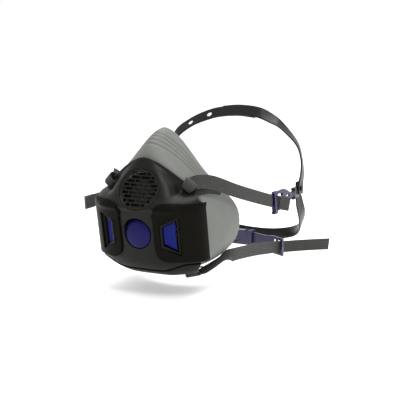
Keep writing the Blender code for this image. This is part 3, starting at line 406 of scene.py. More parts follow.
SHELL_BLACK = plastic("shell_black", (0.0066, 0.0064, 0.0050), 0.34, 0.012, 0.10, specular=0.12)
PANEL_BLACK = plastic("panel_black", (0.0034, 0.0031, 0.0020), 0.40, 0.014, 0.12, specular=0.035)
INNER_BLACK = plastic("inner_black", (0.004, 0.004, 0.004), 0.6, 0.02, specular=0.12)
CRADLE_BLACK = plastic("cradle_black", (0.0030, 0.0030, 0.0028), 0.30, 0.010, 0.12, specular=0.26)
BUTTON_BLUE = plastic("button_blue", (0.0060, 0.0050, 0.056), 0.42, 0.008, 0.06, specular=0.10)
SHUTTER_BLUE = plastic("shutter_blue", (0.0050, 0.0090, 0.112), 0.40, 0.008, 0.08, specular=0.07)
BUCKLE_BLUE = plastic("buckle_blue", (0.010, 0.007, 0.050), 0.20, 0.006, 0.12, specular=0.6, clarity=0.18)
SILICONE = rubber("silicone_grey", (0.118, 0.123, 0.112))
VALVE_RUBBER = rubber("valve_rubber", (0.20, 0.19, 0.17))
WEBBING = webbing_material("webbing_grey", (0.029, 0.029, 0.027))
# A darker copy of the webbing: painted shade for the loop's inner ply, which lies in shadow under the strap.
WEBBING_PAINTED_SHADE = webbing_material("webbing_painted_shade", (0.010, 0.010, 0.009))
TAB_GREY = plastic("tab_grey", (0.055, 0.055, 0.052), 0.6, 0.03, specular=0.3)
# Near black as painted shade: the film is seen through the grille's slots, where the inside of the mask lies
# in shade.
FILM_PAINTED_SHADE = plastic("diaphragm_film", (0.010, 0.010, 0.010), 0.3, 0.01)
STEEL = steel("spring_steel")

# ---- the cover's surface, as in the part
COVER_HALF_WIDTH = 55.0
COVER_DEPTH = 34.0
COVER_SQUARENESS = 2.3
COVER_FRONT_Y = -1.5
COVER_WALL = 2.2
LEAN = 0.18
RIM_TOP_Z = 68.4
RIM_FRONT_Y = 12.4
SHOULDER_Z = 26.0
CHIN_EDGE_Z = -34.0
HUMP_START_Z = 24.0
HUMP_SLOPE = 0.40
HUMP_DEPTH = 20.0


def smooth_min(a, b, radius):
    share = np.clip(0.5 + 0.5 * (b - a) / radius, 0, 1)
    return b * (1 - share) + a * share - radius * share * (1 - share)


def bow(x, half_width, depth, power):
    t = np.clip(np.abs(x) / half_width, 0, 1)
    return depth * (1 - (1 - t**power) ** (1 / power)) + 6.0 * np.maximum(np.abs(x) - half_width, 0)


def rim_z(x):
    return RIM_TOP_Z + 0.8 - 0.098 * (x * x + 16.0) ** 0.75


def rim_y(x):
    return RIM_FRONT_Y + 0.0064 * x * x


def chin_edge_z(x):
    return CHIN_EDGE_Z + 8.0 * ease(np.clip((np.abs(x) - 18) / 28, 0, 1))


def box_y(x, z):
    above = np.maximum(z - SHOULDER_Z, 0)
    below = np.maximum(-22.0 - z, 0)
    front = COVER_FRONT_Y - LEAN * np.minimum(z, HUMP_START_Z) + 0.12 * above**2 + 0.035 * below**2
    return front + bow(x, COVER_HALF_WIDTH, COVER_DEPTH, COVER_SQUARENESS)


def hump_half_width(z):
    levels = [HUMP_START_Z, 31.0, 37.0, 45.0, 56.0, 64.0, RIM_TOP_Z]
    widths = [44.0, 38.0, 34.0, 30.5, 22.5, 14.5, 8.0]
    return np.interp(z, levels, widths)


def hump_y(x, z):
    over = np.maximum(z - HUMP_START_Z, 0)
    under = np.maximum(HUMP_START_Z - z, 0)
    front = COVER_FRONT_Y - LEAN * HUMP_START_Z + HUMP_SLOPE * over + 1.2 * under
    return front + bow(x, hump_half_width(z), HUMP_DEPTH, 2.8)


def collar_y(x, z):
    below = np.maximum(34.0 - z, 0)
    return rim_y(x) - 0.12 * (rim_z(x) - z) + 0.9 * below


def cover_y(x, z):
    return smooth_min(smooth_min(box_y(x, z), hump_y(x, z), 4.0), collar_y(x, z), 3.0)


def surface_grid(columns, low, high, rows, depth):
    t = np.linspace(0, 1, rows)
    grid = np.zeros((len(columns), rows, 3))
    for i, x in enumerate(columns):
        z = low(x) + (high(x) - low(x)) * t
        grid[i] = np.stack([np.full(rows, x), depth(np.full(rows, x), z), z], axis=1)
    return grid


def ellipse(half_width, half_height, count):
    angles = [2 * math.pi * i / count for i in range(count)]
    return [(half_width * math.cos(a), half_height * math.sin(a)) for a in angles]


def cover_point(x, z):
    return np.array([x, float(cover_y(np.array(float(x)), np.array(float(z)))), z])


# ---- side windows
WINDOW_TILT = math.radians(31)
WINDOW_INNER_X, WINDOW_OUTER_X = 26.0, 37.3
WINDOW_INNER_HALF, WINDOW_OUTER_HALF = 8.8, 15.4
RING_WIDTH = 2.1


def window_axes(side):
    across = np.array([side * math.cos(WINDOW_TILT), math.sin(WINDOW_TILT), 0.0])
    up = np.array([0.0, -LEAN, 1.0])
    return across, up, np.cross(across, up) * side


def window_centre(side):
    x = (WINDOW_INNER_X + WINDOW_OUTER_X) / 2
    return np.array([side * x, float(box_y(np.array(x), np.array(0.0))), 0.0])


def window_outline(grow):
    half = (WINDOW_OUTER_X - WINDOW_INNER_X) / 2 / math.cos(WINDOW_TILT) + grow
    small, tall = WINDOW_INNER_HALF + grow * 0.8, WINDOW_OUTER_HALF + grow * 1.3
    return [(-half, -small), (half, -tall), (half, tall), (-half, small)]


def window_prism(name, side, grow, low, high):
    return prism(name, window_outline(grow), window_centre(side), window_axes(side), low, high)


# ---- front of the mask
SLOT_X = 37.5
STRAP_SLOT = (10.0, 1.9, 12)
BUTTON_HOLE = [(0, -12), (13.7, -12), (13.7, -0.4), (14.9, 1.4), (14.9, 14), (0, 14)]
GRILLE_Z = 40.5
GRILLE_HALF_WIDTH = 20.5
GRILLE_HALF_HEIGHT = 17.6
SLOT_PITCH, SLOT_HEIGHT = 3.35, 2.3


def strap_slot_frame():
    """Middle, run, outward and upward directions of the wearer's left strap slot in the cover's collar."""
    step = 0.5
    ends = [np.array([a, rim_y(a), rim_z(a)]) for a in (SLOT_X - step, SLOT_X + step)]
    run = unit(ends[1] - ends[0])
    middle = cover_point(SLOT_X, rim_z(SLOT_X) - 6.2)
    out = unit(np.cross(run, unit(np.cross(np.array([0, -1.0, 0.15]), run))))
    out = -out if out[1] > 0 else out
    upward = unit(np.cross(run, out))
    upward = -upward if upward[2] < 0 else upward
    return middle, run, out, upward


def make_cover():
    s = np.sin(np.linspace(-math.pi / 2, math.pi / 2, 121))
    columns = COVER_HALF_WIDTH * np.sign(s) * np.abs(s) ** (2 / COVER_SQUARENESS)
    grid = surface_grid(columns, chin_edge_z, rim_z, 101, cover_y)
    cover = shell("cover_shell", grid, -COVER_WALL, 0.0)
    grille_hole = ellipse(GRILLE_HALF_WIDTH + 0.2, GRILLE_HALF_HEIGHT + 0.2, 96)
    cutters = [
        turned("cut_button", (0, 0, 0), FRONT_AXES, BUTTON_HOLE),
        prism("cut_grille", grille_hole, (0, 0, GRILLE_Z), FRONT_AXES, -16, 16),
    ]
    middle, run, out, upward = strap_slot_frame()
    for side, label in SIDES:
        flip = np.array([side, 1, 1])
        cutters.append(window_prism(f"cut_window_{label}", side, RING_WIDTH + 0.4, -10, 10))
        axes = (run * flip, upward * flip, out * flip)
        cutters.append(box(f"cut_slot_{label}", middle * flip, axes, STRAP_SLOT))
    moulded(cover, cutters, voxel=0.42, rounds=5)
    ride_as(cover, "mask", SHELL_BLACK, ["front_cover"])


PANEL_INNER_X, PANEL_OUTER_X = 17.0, 54.85
PANEL_TOP_Z, PANEL_BOTTOM_Z = 29.5, -24.0
PANEL_CORNER = 11.0
PANEL_STAND_OFF = 0.9
PANEL_WALL = 1.2


def panel_corner(x):
    reach = np.clip(PANEL_CORNER - (x - PANEL_INNER_X), 0, PANEL_CORNER)
    return PANEL_CORNER - math.sqrt(PANEL_CORNER**2 - reach**2)


def panel_bottom(x):
    return PANEL_BOTTOM_Z + panel_corner(x)


def panel_top(x):
    return PANEL_TOP_Z - panel_corner(x)


def make_side_panel(side, label):
    """The raised panel beside the grille, with its back close to the cover."""
    start = (PANEL_INNER_X / PANEL_OUTER_X) ** (COVER_SQUARENESS / 2)
    share = start + (1 - start) * np.sin(np.linspace(0, math.pi / 2, 61))
    columns = PANEL_OUTER_X * share ** (2 / COVER_SQUARENESS)
    grid = surface_grid(columns, panel_bottom, panel_top, 81, cover_y)
    grid[:, :, 0] *= side
    if side < 0:
        grid = grid[::-1]
    panel = shell(f"{label}_panel", grid, 0.3, PANEL_STAND_OFF + PANEL_WALL)
    cutter = window_prism(f"cut_panel_{label}", side, RING_WIDTH + 0.2, -10, 10)
    moulded(panel, [cutter], voxel=0.42, rounds=5)
    ride_as(panel, "mask", PANEL_BLACK, [f"{label}_side_panel"])


def make_port_ring(side, label):
    """The sloping frame round a side window, which steps down from the panel to the shutter."""
    ring = window_prism(f"{label}_window_ring", side, RING_WIDTH, -1.6, 0.7)
    cutter = window_prism(f"cut_ring_{label}", side, 0.0, -6, 6)
    moulded(ring, [cutter], voxel=0.3, rounds=3)
    ride_as(ring, "mask", INNER_BLACK, [f"{label}_port_ring"])


def make_grille():
    """The oval grille: a sunk plate with a raised rim, pierced with rows of slots."""
    rings, sides = 24, 96
    grid = np.zeros((rings, sides, 3))
    for i in range(rings):
        share = max(i / (rings - 1), 0.02)
        for j, (dx, dz) in enumerate(ellipse(GRILLE_HALF_WIDTH * share, GRILLE_HALF_HEIGHT * share, sides)):
            rim = np.clip((share - 0.90) / 0.06, 0, 1)
            grid[i, j] = cover_point(dx, GRILLE_Z + dz) + (0, 1.5 - 0.9 * rim, 0)
    front = grid.reshape(-1, 3)
    back = front + (0, 1.9, 0)
    size = rings * sides
    faces = quads(rings, sides, 0, True) + quads(rings, sides, size, True)
    faces += [tuple(range(sides)), tuple(range(size, size + sides))]
    edge = (rings - 1) * sides
    for j in range(sides):
        a, b = edge + j, edge + (j + 1) % sides
        faces.append((a, b, size + b, size + a))
    grille = new_mesh_object("grille_plate", np.concatenate([front, back]), faces)
    moulded(grille, grille_slots(), voxel=0.28, rounds=2)
    ride_as(grille, "mask", SHELL_BLACK, ["speaking_grille"])


def grille_slots():
    """Cutters for the slots, as bricks laid in rows: alternate rows break at different places."""
    cutters = []
    for row in range(-4, 5):
        z = row * SLOT_PITCH
        reach = (GRILLE_HALF_WIDTH - 2.4) * math.sqrt(max(1 - (z / (GRILLE_HALF_HEIGHT - 1.4)) ** 2, 0.0))
        breaks = (-14.6, -5.2, 5.2, 14.6) if row % 2 == 0 else (-9.8, 0.0, 9.8)
        edges = [-reach, *[b for b in breaks if abs(b) < reach - 1.4], reach]
        for left, right in zip(edges, edges[1:]):
            length = right - left - 1.2
            if length > 1.6:
                middle = ((left + right) / 2, 0, GRILLE_Z + z)
                size = (length, SLOT_HEIGHT, 60)
                cutters.append(box(f"cut_slot_{row}_{left:.0f}", middle, FRONT_AXES, size))
    return cutters


# Radius, and height in front of the drawing's origin, from the dome to the skirt and its guide tube.
BUTTON_PROFILE = [
    (0, 2.6), (1.5, 2.58), (3.0, 2.5), (4.5, 2.36), (6.0, 2.14), (7.5, 1.84), (9.0, 1.44), (10.2, 1.02),
    (11.2, 0.56), (12.0, 0.06), (12.6, -0.5), (13.0, -1.1), (13.15, -1.9), (13.15, -3.2), (14.8, -3.6),
    (14.8, -4.6), (12.6, -4.8), (11.8, -4.1), (11.5, -1.8), (7.0, -0.4), (5.8, -0.6), (5.8, -6.0),
    (6.2, -6.2), (9.0, -6.2), (9.0, -7.4), (4.6, -7.4), (4.6, -1.0), (0, -1.0),
]


def make_button():
    button = turned("button_dome", (0, 0, 0), FRONT_AXES, BUTTON_PROFILE, 96)
    button.data.set_sharp_from_angle(angle=math.radians(40))
    ride_as(button, "seal_check", BUTTON_BLUE, ["seal_check_button"])


SPRING_FRONT, SPRING_BACK = 1.2, 12.5
SPRING_RADIUS, SPRING_WIRE, SPRING_TURNS = 3.35, 0.35, 6


def make_button_spring():
    """A coil of round wire behind the button."""
    axis = np.array(Y, float)
    steps, sides = 36 * SPRING_TURNS, 10
    points = []
    for step in range(steps + 1):
        share = step / steps
        turn = 2 * math.pi * SPRING_TURNS * share
        radial = np.array([math.cos(turn), 0.0, math.sin(turn)])
        centre = radial * SPRING_RADIUS + axis * (SPRING_FRONT + (SPRING_BACK - SPRING_FRONT) * share)
        for k in range(sides):
            angle = 2 * math.pi * k / sides
            points.append(centre + (radial * math.cos(angle) + axis * math.sin(angle)) * SPRING_WIRE)
    faces = [tuple(range(sides)), tuple(range(steps * sides, (steps + 1) * sides))]
    faces += quads(steps + 1, sides, 0, True)
    spring = new_mesh_object("return_spring", points, faces)
    ride_as(spring, "mask", STEEL, ["button_spring"])
    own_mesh(spring)


RIDGE_PLACE = 0.52


def make_shutter(side, label):
    """The shutter's visible face: two facets that meet at an upright ridge, with softened edges."""
    (inner, _), (_, _), (outer, tall), (_, small) = window_outline(-1.1)
    ridge = inner + (outer - inner) * RIDGE_PLACE
    ridge_half = small + (tall - small) * RIDGE_PLACE
    stations = [(inner, small, -2.5), (ridge, ridge_half, -1.35), (outer, tall, -2.9)]
    centre, (u, v, w) = window_centre(side), [unit(axis) for axis in window_axes(side)]
    ends = [(a, s * h, d) for a, h, top in stations for s in (-1, 1) for d in (top, -6.2)]
    points = [centre + u * a + v * b + w * d for a, b, d in ends]
    faces = [(0, 4, 6, 2), (4, 8, 10, 6), (1, 3, 7, 5), (5, 7, 11, 9), (0, 2, 3, 1), (8, 9, 11, 10)]
    faces += [(0, 1, 5, 4), (4, 5, 9, 8), (2, 6, 7, 3), (6, 10, 11, 7)]
    pad = new_mesh_object(f"{label}_shutter_face", points, faces)
    bevel = pad.modifiers.new("bevel", "BEVEL")
    bevel.width = 0.45 * MM
    bevel.segments = 3
    bevel.limit_method = "ANGLE"
    bevel.angle_limit = math.radians(8)
    bake_modifiers(pad)
    pad.data.shade_smooth()
    pad.data.set_sharp_from_angle(angle=math.radians(50))
    ride_as(pad, f"{label}_shutter_lever", SHUTTER_BLUE, [])


# ---- chin guard
def make_chin_guard():
    count, rows = 91, 41
    grid = np.zeros((count, rows, 3))
    for i, s in enumerate(np.linspace(-1, 1, count)):
        swing = math.sin(s * math.pi / 2)
        x0 = 52.0 * swing
        z0 = float(chin_edge_z(x0)) - 1.4
        y0 = cover_point(x0, z0 + 1.4)[1] + 0.6
        front = np.array([x0, y0, z0])
        back = np.array([39.0 * swing, 53.0 - 9.0 * s * s, -45.5 + 8.5 * s**4])
        for j, t in enumerate(np.linspace(0, 1, rows)):
            bulge = np.array([0, -2.0, -2.6 * (1 - 0.5 * s * s)]) * math.sin(math.pi * t)
            grid[i, j] = front * (1 - t) + back * t + bulge
    guard = shell("chin_trough", grid, 0.0, 2.0)
    cutters = []
    for side, label in SIDES:
        axes = (np.array([1.0, 0.0, side * 0.28]), Y, np.array([-side * 0.28, 0.0, 1.0]))
        size = (WEBBING_WIDTH + 2, 3.4, 16)
        cutters.append(box(f"cut_neck_slot_{label}", (side * 30.0, 47.0, -43.2), axes, size))
    moulded(guard, cutters, voxel=0.45, rounds=4)
    # The guard takes the darker panel black as painted shade for its shaded underside.
    ride_as(guard, "mask", PANEL_BLACK, ["chin_guard"])


# ---- silicone facepiece
# Half outlines of the facepiece, top to chin, from the front opening back to the turned-in sealing lip.
FACEPIECE_RINGS = [
    [(0, 16.2, 58), (15, 18.2, 53), (29, 22.6, 45), (42, 28.5, 34), (49.5, 33, 20), (51, 36, 0),
     (49.5, 39, -17), (38, 38, -27), (20, 34, -33), (0, 32, -35)],
    [(0, 16.2, 68), (14, 18.6, 63), (28, 23.2, 54), (39.5, 28.8, 43.5), (48.5, 35, 30), (51.8, 40, 12),
     (51.8, 43, -8), (49, 45, -24), (36, 46, -34), (18, 44, -38), (0, 42, -39)],
    [(0, 22, 80), (12, 27, 75), (25, 36, 64), (36, 45, 50), (47, 52, 34), (53.5, 58, 14), (54.2, 60, -8),
     (50, 60, -25), (37, 58, -35), (19, 54, -40), (0, 51, -41)],
    [(0, 34, 89), (12, 43, 82), (22, 53, 69), (32.5, 62, 53), (45, 70, 35), (54.5, 78, 15), (55.6, 80, -6),
     (50, 78, -24), (37, 71, -36), (20, 64, -42), (0, 60, -43.5)],
    [(0, 50, 93), (11, 58, 84), (20, 67, 68), (30, 75, 50), (42, 84, 34), (53, 96, 16), (55, 100, -3),
     (49.5, 97, -21), (37, 80, -35), (20, 71, -43), (0, 66, -45)],
    [(0, 54, 88.5), (8, 61, 79), (14, 69, 64), (22, 77, 47), (32, 86, 30), (41, 97, 13), (43, 100, -4),
     (38, 96, -18), (29, 80, -29), (16, 71, -37), (0, 67, -39)],
]


def facepiece_ring(half, count):
    """A closed ring from its half outline, spaced evenly round."""
    points = half + [(-x, y, z) for x, y, z in reversed(half[1:-1])]
    loop = points[-2:] + points + points[:3]
    path = smooth_path(loop, 12 * len(loop))
    first = np.array(points[0])
    start = np.argmin(np.linalg.norm(path[:42] - first, axis=1))
    tail = len(path) // 2
    end = tail + np.argmin(np.linalg.norm(path[tail:] - first, axis=1))
    return smooth_path(path[start : end + 1], count + 1)[:-1]


CREASES = (0.39, 0.475, 0.56, 0.645)  # share of the way from the front opening to the lip
CREASE_DEPTH = 0.95
CREASE_WIDTH = 0.020


def make_facepiece():
    around, along = 220, 120
    rings = np.array([facepiece_ring(half, around) for half in FACEPIECE_RINGS])
    grid = np.stack([smooth_path(rings[:, j], along) for j in range(around)], axis=1)
    for _ in range(6):
        grid = (grid + np.roll(grid, 1, axis=1) + np.roll(grid, -1, axis=1)) / 3
    share = np.linspace(0, 1, along)[:, None]
    fade = ease(np.clip((grid[:, :, 2] - 38.0) / 16.0, 0, 1))
    pleats = sum(np.exp(-(((share - c) / CREASE_WIDTH) ** 2)) for c in CREASES)
    grid = grid + wrapped_normals(grid) * (pleats * fade * CREASE_DEPTH)[:, :, None]
    facepiece = shell("silicone_cup", grid, 0.0, 1.9, wrap=True)
    ride_as(facepiece, "mask", SILICONE, ["facepiece"])


GASKET_LIP = 1.5  # how far the gasket reaches forward at the middle of the face
GASKET_REACH = 8.5  # how much further it reaches at the sides
GASKET_BACK = 2.0  # how far it overlaps the silicone


def make_inner_gasket():
    """A black lip from the silicone's front opening to just inside the cover, which keeps light out."""
    rings = []
    for share in (0.0, 0.35, 0.7, 1.0):
        ring = []
        for x, y, z in FACEPIECE_RINGS[0]:
            side = min(max((x - (26.0 if z > -10 else 12.0)) / 15.0, 0.0), 1.0)
            reach = GASKET_LIP + GASKET_REACH * side
            inset = 0.985 + (0.045 if z < 25 else -0.02) * share
            ring.append((x * inset, y + GASKET_BACK - (reach + GASKET_BACK) * share, z * inset))
        rings.append(facepiece_ring(ring, 160))
    grid = np.stack([smooth_path(np.array(rings)[:, j], 10) for j in range(160)], axis=1)
    lip = shell("inner_gasket", grid, 0.0, 0.9, wrap=True)
    ride_as(lip, "mask", INNER_BLACK, ())


# ---- straps
def band_rows(knots, step):
    """Points, width directions and normals along a strap's path, about one every step mm."""
    rough = np.array([point for point, _ in knots], float)
    count = max(8, int(np.linalg.norm(np.diff(rough, axis=0), axis=1).sum() / step))
    rows = smooth_path([[*point, *unit(wide)] for point, wide in knots], count)
    path, wide = rows[:, :3], rows[:, 3:]
    tangents = np.gradient(path, axis=0)
    tangents /= np.linalg.norm(tangents, axis=1, keepdims=True)
    across = wide - (wide * tangents).sum(1, keepdims=True) * tangents
    across /= np.linalg.norm(across, axis=1, keepdims=True)
    return path, across, np.cross(tangents, across)


def ribbed_section(width, thickness, ribs, depth):
    """A strap's cross-section: long ribs on both faces, and rounded edges."""
    half, edge = width / 2, thickness / 2
    flat = np.linspace(-half + edge, half - edge, ribs * 6 + 1)
    height = edge - depth * (0.5 + 0.5 * np.cos(2 * math.pi * ribs * (flat + half) / width))
    turn = np.linspace(-math.pi / 2, math.pi / 2, 7)[1:-1]
    right = [(half - edge + edge * math.cos(a), -edge * math.sin(a)) for a in turn]
    left = [(-half + edge - edge * math.cos(a), edge * math.sin(a)) for a in turn]
    return [*zip(flat, height), *right, *zip(flat[::-1], -height[::-1]), *left]


def plain_section(width, thickness, edge):
    """A moulded strip's cross-section: flat faces and rounded edges."""
    points = []
    for quarter, (sx, sy) in enumerate([(1, 1), (-1, 1), (-1, -1), (1, -1)]):
        for k in range(5):
            angle = math.pi / 2 * (quarter + k / 4)
            along = sx * (width / 2 - edge) + edge * math.cos(angle)
            points.append((along, sy * (thickness / 2 - edge) + edge * math.sin(angle)))
    return points


def sweep(name, rows, section, start=0.0, waist=None):
    """A closed solid: the section carried along the rows, mapped by length and width in mm.

    waist is (place along the strap, reach, share taken off the width), for a strap gathered at a fold.
    """
    path, across, normal = rows
    steps = np.linalg.norm(np.diff(path, axis=0), axis=1)
    length = start + np.concatenate([[0], np.cumsum(steps)])
    scale = np.ones(len(path))
    if waist:
        scale -= waist[2] * np.exp(-(((length - waist[0]) / waist[1]) ** 2))
    points = [p + a * s * k + n * t for p, a, n, k in zip(path, across, normal, scale) for s, t in section]
    uvs = [(u, s) for u in length for s, _ in section]
    size, last = len(section), len(section) * (len(path) - 1)
    faces = quads(len(path), size, 0, True)
    faces += [tuple(range(size)), tuple(range(last, last + size))]
    return new_mesh_object(name, points, faces, uvs)


def to_side(side, knots):
    flip = np.array([side, 1, 1])
    return [(np.asarray(point, float) * flip, np.asarray(wide, float) * flip) for point, wide in knots]


def split_rows(rows, cut):
    """Two lengths of one strap that share a row."""
    return tuple(part[: cut + 1] for part in rows), tuple(part[cut:] for part in rows)


STRAP_SECTION = ribbed_section(WEBBING_WIDTH, WEBBING_THICKNESS, STRAP_RIBS, 0.26)
STRAP_STEP = 0.7
FOLD_WAIST = (4.0, 8.0, 0.30)
# The fold's path round the cover's edge, as (outward, upward) from the middle of the slot.
FOLD_WRAP = [(-5.2, -0.4), (-1.8, 0), (0.8, 0.3), (2.4, 1.4), (3.3, 3.4), (3.3, 5.9), (2.2, 8), (-0.2, 9.2)]


def strap_fold_knots():
    """The webbing from its slot, out over the cover's edge and back along the cheek."""
    middle, run, out, upward = strap_slot_frame()
    fold = [(middle + out * o + upward * u, run) for o, u in FOLD_WRAP]
    return fold + [
        ((42.6, 27, 46), (0.68, 0.32, -0.66)),
        ((46.2, 33, 46.4), (0.40, 0.26, -0.88)),
        ((49.4, 40.5, 45.6), (0.10, 0.14, -1)),
        ((51.8, 48, 43.8), (0, 0.16, -1)),
    ]


UPPER_RUN = [
    ((54.6, 58, 40.4), (0, 0.22, -1)),
    ((59.2, 79, 32.8), (0, 0.24, -1)),
    ((64, 116, 21.8), (0, 0.20, -1)),
    ((66.6, 143, 14.4), (0, 0.18, -1)),
    ((66.3, 155, 11.4), (0, 0.18, -1)),
    ((67.4, 160.4, 10.2), (0, 0.16, -1)),
]
LEFT_TAIL = [
    ((67.4, 160.4, 10.2), (0, 0.16, -1)),
    ((69.2, 162.4, 9.8), (0, 0.10, -1)),
    ((71.4, 163.4, 9.4), (0, 0.06, -1)),
]
RIGHT_TAIL = [
    ((67.4, 160.4, 10.2), (0, 0.16, -1)),
    ((69.6, 163, 9.8), (0, 0.16, -1)),
    ((71.8, 162, 10), (0, 0.16, -1)),
    ((72.9, 156, 10.9), (0, 0.14, -1)),
    ((73.6, 146, 12.2), (0, 0.12, -1)),
    ((76.4, 130, 14.2), (0, 0.08, -1)),
    ((81, 105, 15.8), (0, 0.06, -1)),
    ((86, 80, 15.4), (0, 0.02, -1)),
    ((89, 64, 14.2), (0, 0, -1)),
]
BUCKLE_FLEX = (118.0, 152.0)  # depths in mm along the strap; its two lengths meet 18 mm in front of the first


def strap(name, rows, start=0.0, waist=None, material=WEBBING):
    obj = sweep(name, rows, STRAP_SECTION, start, waist)
    obj.data.materials.clear()
    obj.data.materials.append(material)
    return obj


def make_upper_strap(side, label):
    rows = band_rows(to_side(side, strap_fold_knots() + UPPER_RUN), STRAP_STEP)
    seam = int(np.argmin(np.abs(rows[0][:, 1] - BUCKLE_FLEX[0] + 18.0)))
    front, back = split_rows(rows, seam)
    lead = strap(f"{label}_cheek_strap", front, 0.0, FOLD_WAIST)
    run = strap(f"{label}_temple_strap", back, len(front[0]) * STRAP_STEP)
    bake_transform(lead)
    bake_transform(run)
    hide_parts(f"{label}_strap_loop")
    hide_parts(f"{label}_upper_strap")
    make_under_ply(side, label)


UNDER_PLY = [
    ((40.6, 24.8, 38.8), (0.70, 0.30, -0.65)),
    ((44.2, 30.8, 40.2), (0.52, 0.28, -0.80)),
    ((47.6, 37.6, 40.4), (0.22, 0.20, -0.95)),
    ((50.2, 45, 40), (0.05, 0.18, -1)),
    ((52.6, 53, 38.6), (0, 0.20, -1)),
    ((54.4, 60, 36.9), (0, 0.22, -1)),
]


def make_under_ply(side, label):
    """The inner layer of the strap's loop, which comes back from the slot and is sewn under the strap. Its
    darker webbing is painted shade.
    """
    rows = band_rows(to_side(side, UNDER_PLY), STRAP_STEP)
    ply = strap(f"{label}_strap_ply", rows, material=WEBBING_PAINTED_SHADE)
    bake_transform(ply)


TAB_RIBS = 6


def make_end_tab(label, start, direction, wide, length, lengthwise):
    """The ribbed grip moulded on a strap's free end."""
    along = unit(direction)
    across = unit(np.asarray(wide, float) - along * np.dot(wide, along))
    face = np.cross(along, across)
    centre = np.asarray(start, float) + along * length / 2
    width = WEBBING_WIDTH + (2.4 if lengthwise else 0.6)
    tab = box(f"{label}_strap_grip", centre, (along, across, face), (length, width, 1.7))
    ribs = []
    for k in range(TAB_RIBS):
        share = (k + 0.5) / TAB_RIBS - 0.5
        middle, size = centre + along * share * length, (1.1, width - 1.2, 3.0)
        if lengthwise:
            middle, size = centre + across * share * width, (length - 0.8, 1.2, 3.2)
        ribs.append(box(f"add_rib_{label}_{k}", middle, (along, across, face), size))
    moulded(tab, [], ribs, voxel=0.25, rounds=3)
    ride_as(tab, f"{label}_buckle_clip", TAB_GREY, [f"{label}_upper_tab"])


def make_upper_tail(side, label, knots):
    path = to_side(side, knots)
    tail = strap(f"{label}_strap_tail", band_rows(path, STRAP_STEP))
    ride_as(tail, f"{label}_buckle_clip", WEBBING, [f"{label}_upper_tail"])
    end, wide = path[-1]
    direction = unit(end - path[-2][0])
    lengthwise = side > 0
    length = 10.4 if lengthwise else 13.0
    make_end_tab(label, end - direction * 0.8, direction, wide, length, lengthwise)


# ---- buckles and cradle
EAR_PIN = np.array([74.5, 191.0, 14.6])
BUCKLE_BAR = np.array([68.3, 157.0, 10.5])
CRADLE_WIDTH, CRADLE_THICKNESS = 12.5, 1.8
# Half outline and openings of the buckle, measured from its pin along the strap.
BUCKLE_HALF = [(-1.6, 2.3), (4, 2.6), (9, 4.6), (13, 7.2), (17, 9.4), (21, 10), (38.2, 10)]
BUCKLE_WINDOWS = ((22.6, 31.0), (32.9, 34.9))


def buckle_axes():
    along = unit(BUCKLE_BAR - EAR_PIN)
    upward = unit(np.cross(np.cross(along, Z), along))
    return along, upward, -np.cross(along, upward)


def make_buckle(side, label):
    """The ladder buckle, modelled on the wearer's left and mirrored for the right.

    It has a waisted link, a wide frame with two openings, and horns at the frame's corners.
    """
    axes = buckle_axes()
    along, upward = axes[:2]
    buckle = prism(f"{label}_ladder_buckle", mirrored(BUCKLE_HALF), EAR_PIN, axes, -1.35, 1.35)
    level = (along, np.cross(Z, along), Z)
    knuckle = [(0, -3.0), (2.5, -3.0), (2.5, 3.0), (0, 3.0)]
    additions = [turned(f"add_knuckle_{label}", EAR_PIN, level, knuckle, 32)]
    bar = EAR_PIN + along * 36.6
    additions.append(box(f"add_bar_{label}", bar - upward * 1.0, axes, (3.2, 20.4, 4.8)))
    for end in (1, -1):
        horn = bar + upward * (end * 10.2 - 0.6) - along * (2.4 if end > 0 else 0.2)
        additions.append(box(f"add_horn_{label}_{end}", horn, axes, (6.4, 2.4, 4.4)))
    bore = [(0, -6), (1.3, -6), (1.3, 6), (0, 6)]
    cutters = [turned(f"cut_knuckle_{label}", EAR_PIN, level, bore, 24)]
    for start, end in BUCKLE_WINDOWS:
        window = mirrored([(start, 7.1), (end, 7.1)])
        cutters.append(prism(f"cut_window_{label}_{start}", window, EAR_PIN, axes, -6, 6))
    eye = EAR_PIN + along * 12.6
    cutters.append(prism(f"cut_eye_{label}", ellipse(3.4, 2.6, 24), eye, axes, -6, 6))
    moulded(buckle, cutters, additions, voxel=0.26, rounds=3)
    if side < 0:
        buckle.data.transform(Matrix.Scale(-1, 4, Vector((1, 0, 0))))
        buckle.data.flip_normals()
    ride_as(buckle, f"{label}_buckle_clip", BUCKLE_BLUE, [f"{label}_buckle"])


CROWN_NORMAL = unit((0.0, -0.88, 0.47))
CROWN_LIFT = CRADLE_THICKNESS + 0.3
CROWN_HOLES = (-36.0, -57.0)
CROWN_KNOTS = {
    "left": [
        ((75.4, 209.2, 11.5), (0, 1, 0)),
        ((75.4, 209.4, 23), (0, 1, 0)),
        ((76.2, 211, 34), (-0.12, 0.99, 0)),
        ((74.4, 213, 48.5), (-0.3, 0.94, 0.05)),
        ((68, 215, 64), (-0.22, 0.97, 0.05)),
        ((51, 217, 80.7), (0.04, 0.97, 0.2)),
        ((36.5, 218, 89.4), (0, 0.72, 0.69)),
    ],
    "right": [
        ((75.4, 209.2, 11.5), (0, 1, 0)),
        ((75.4, 209.4, 23), (0, 1, 0)),
        ((77.6, 209.5, 38), (0.05, 1, 0)),
        ((77.6, 208.8, 54), (0.32, 0.85, 0.4)),
        ((72, 209, 69.5), (0.46, 0.62, 0.64)),
        ((56.2, 212.5, 82), (0.48, 0.6, 0.64)),
        ((38, 217, 90.3), (0.25, 0.52, 0.81)),
    ],
}
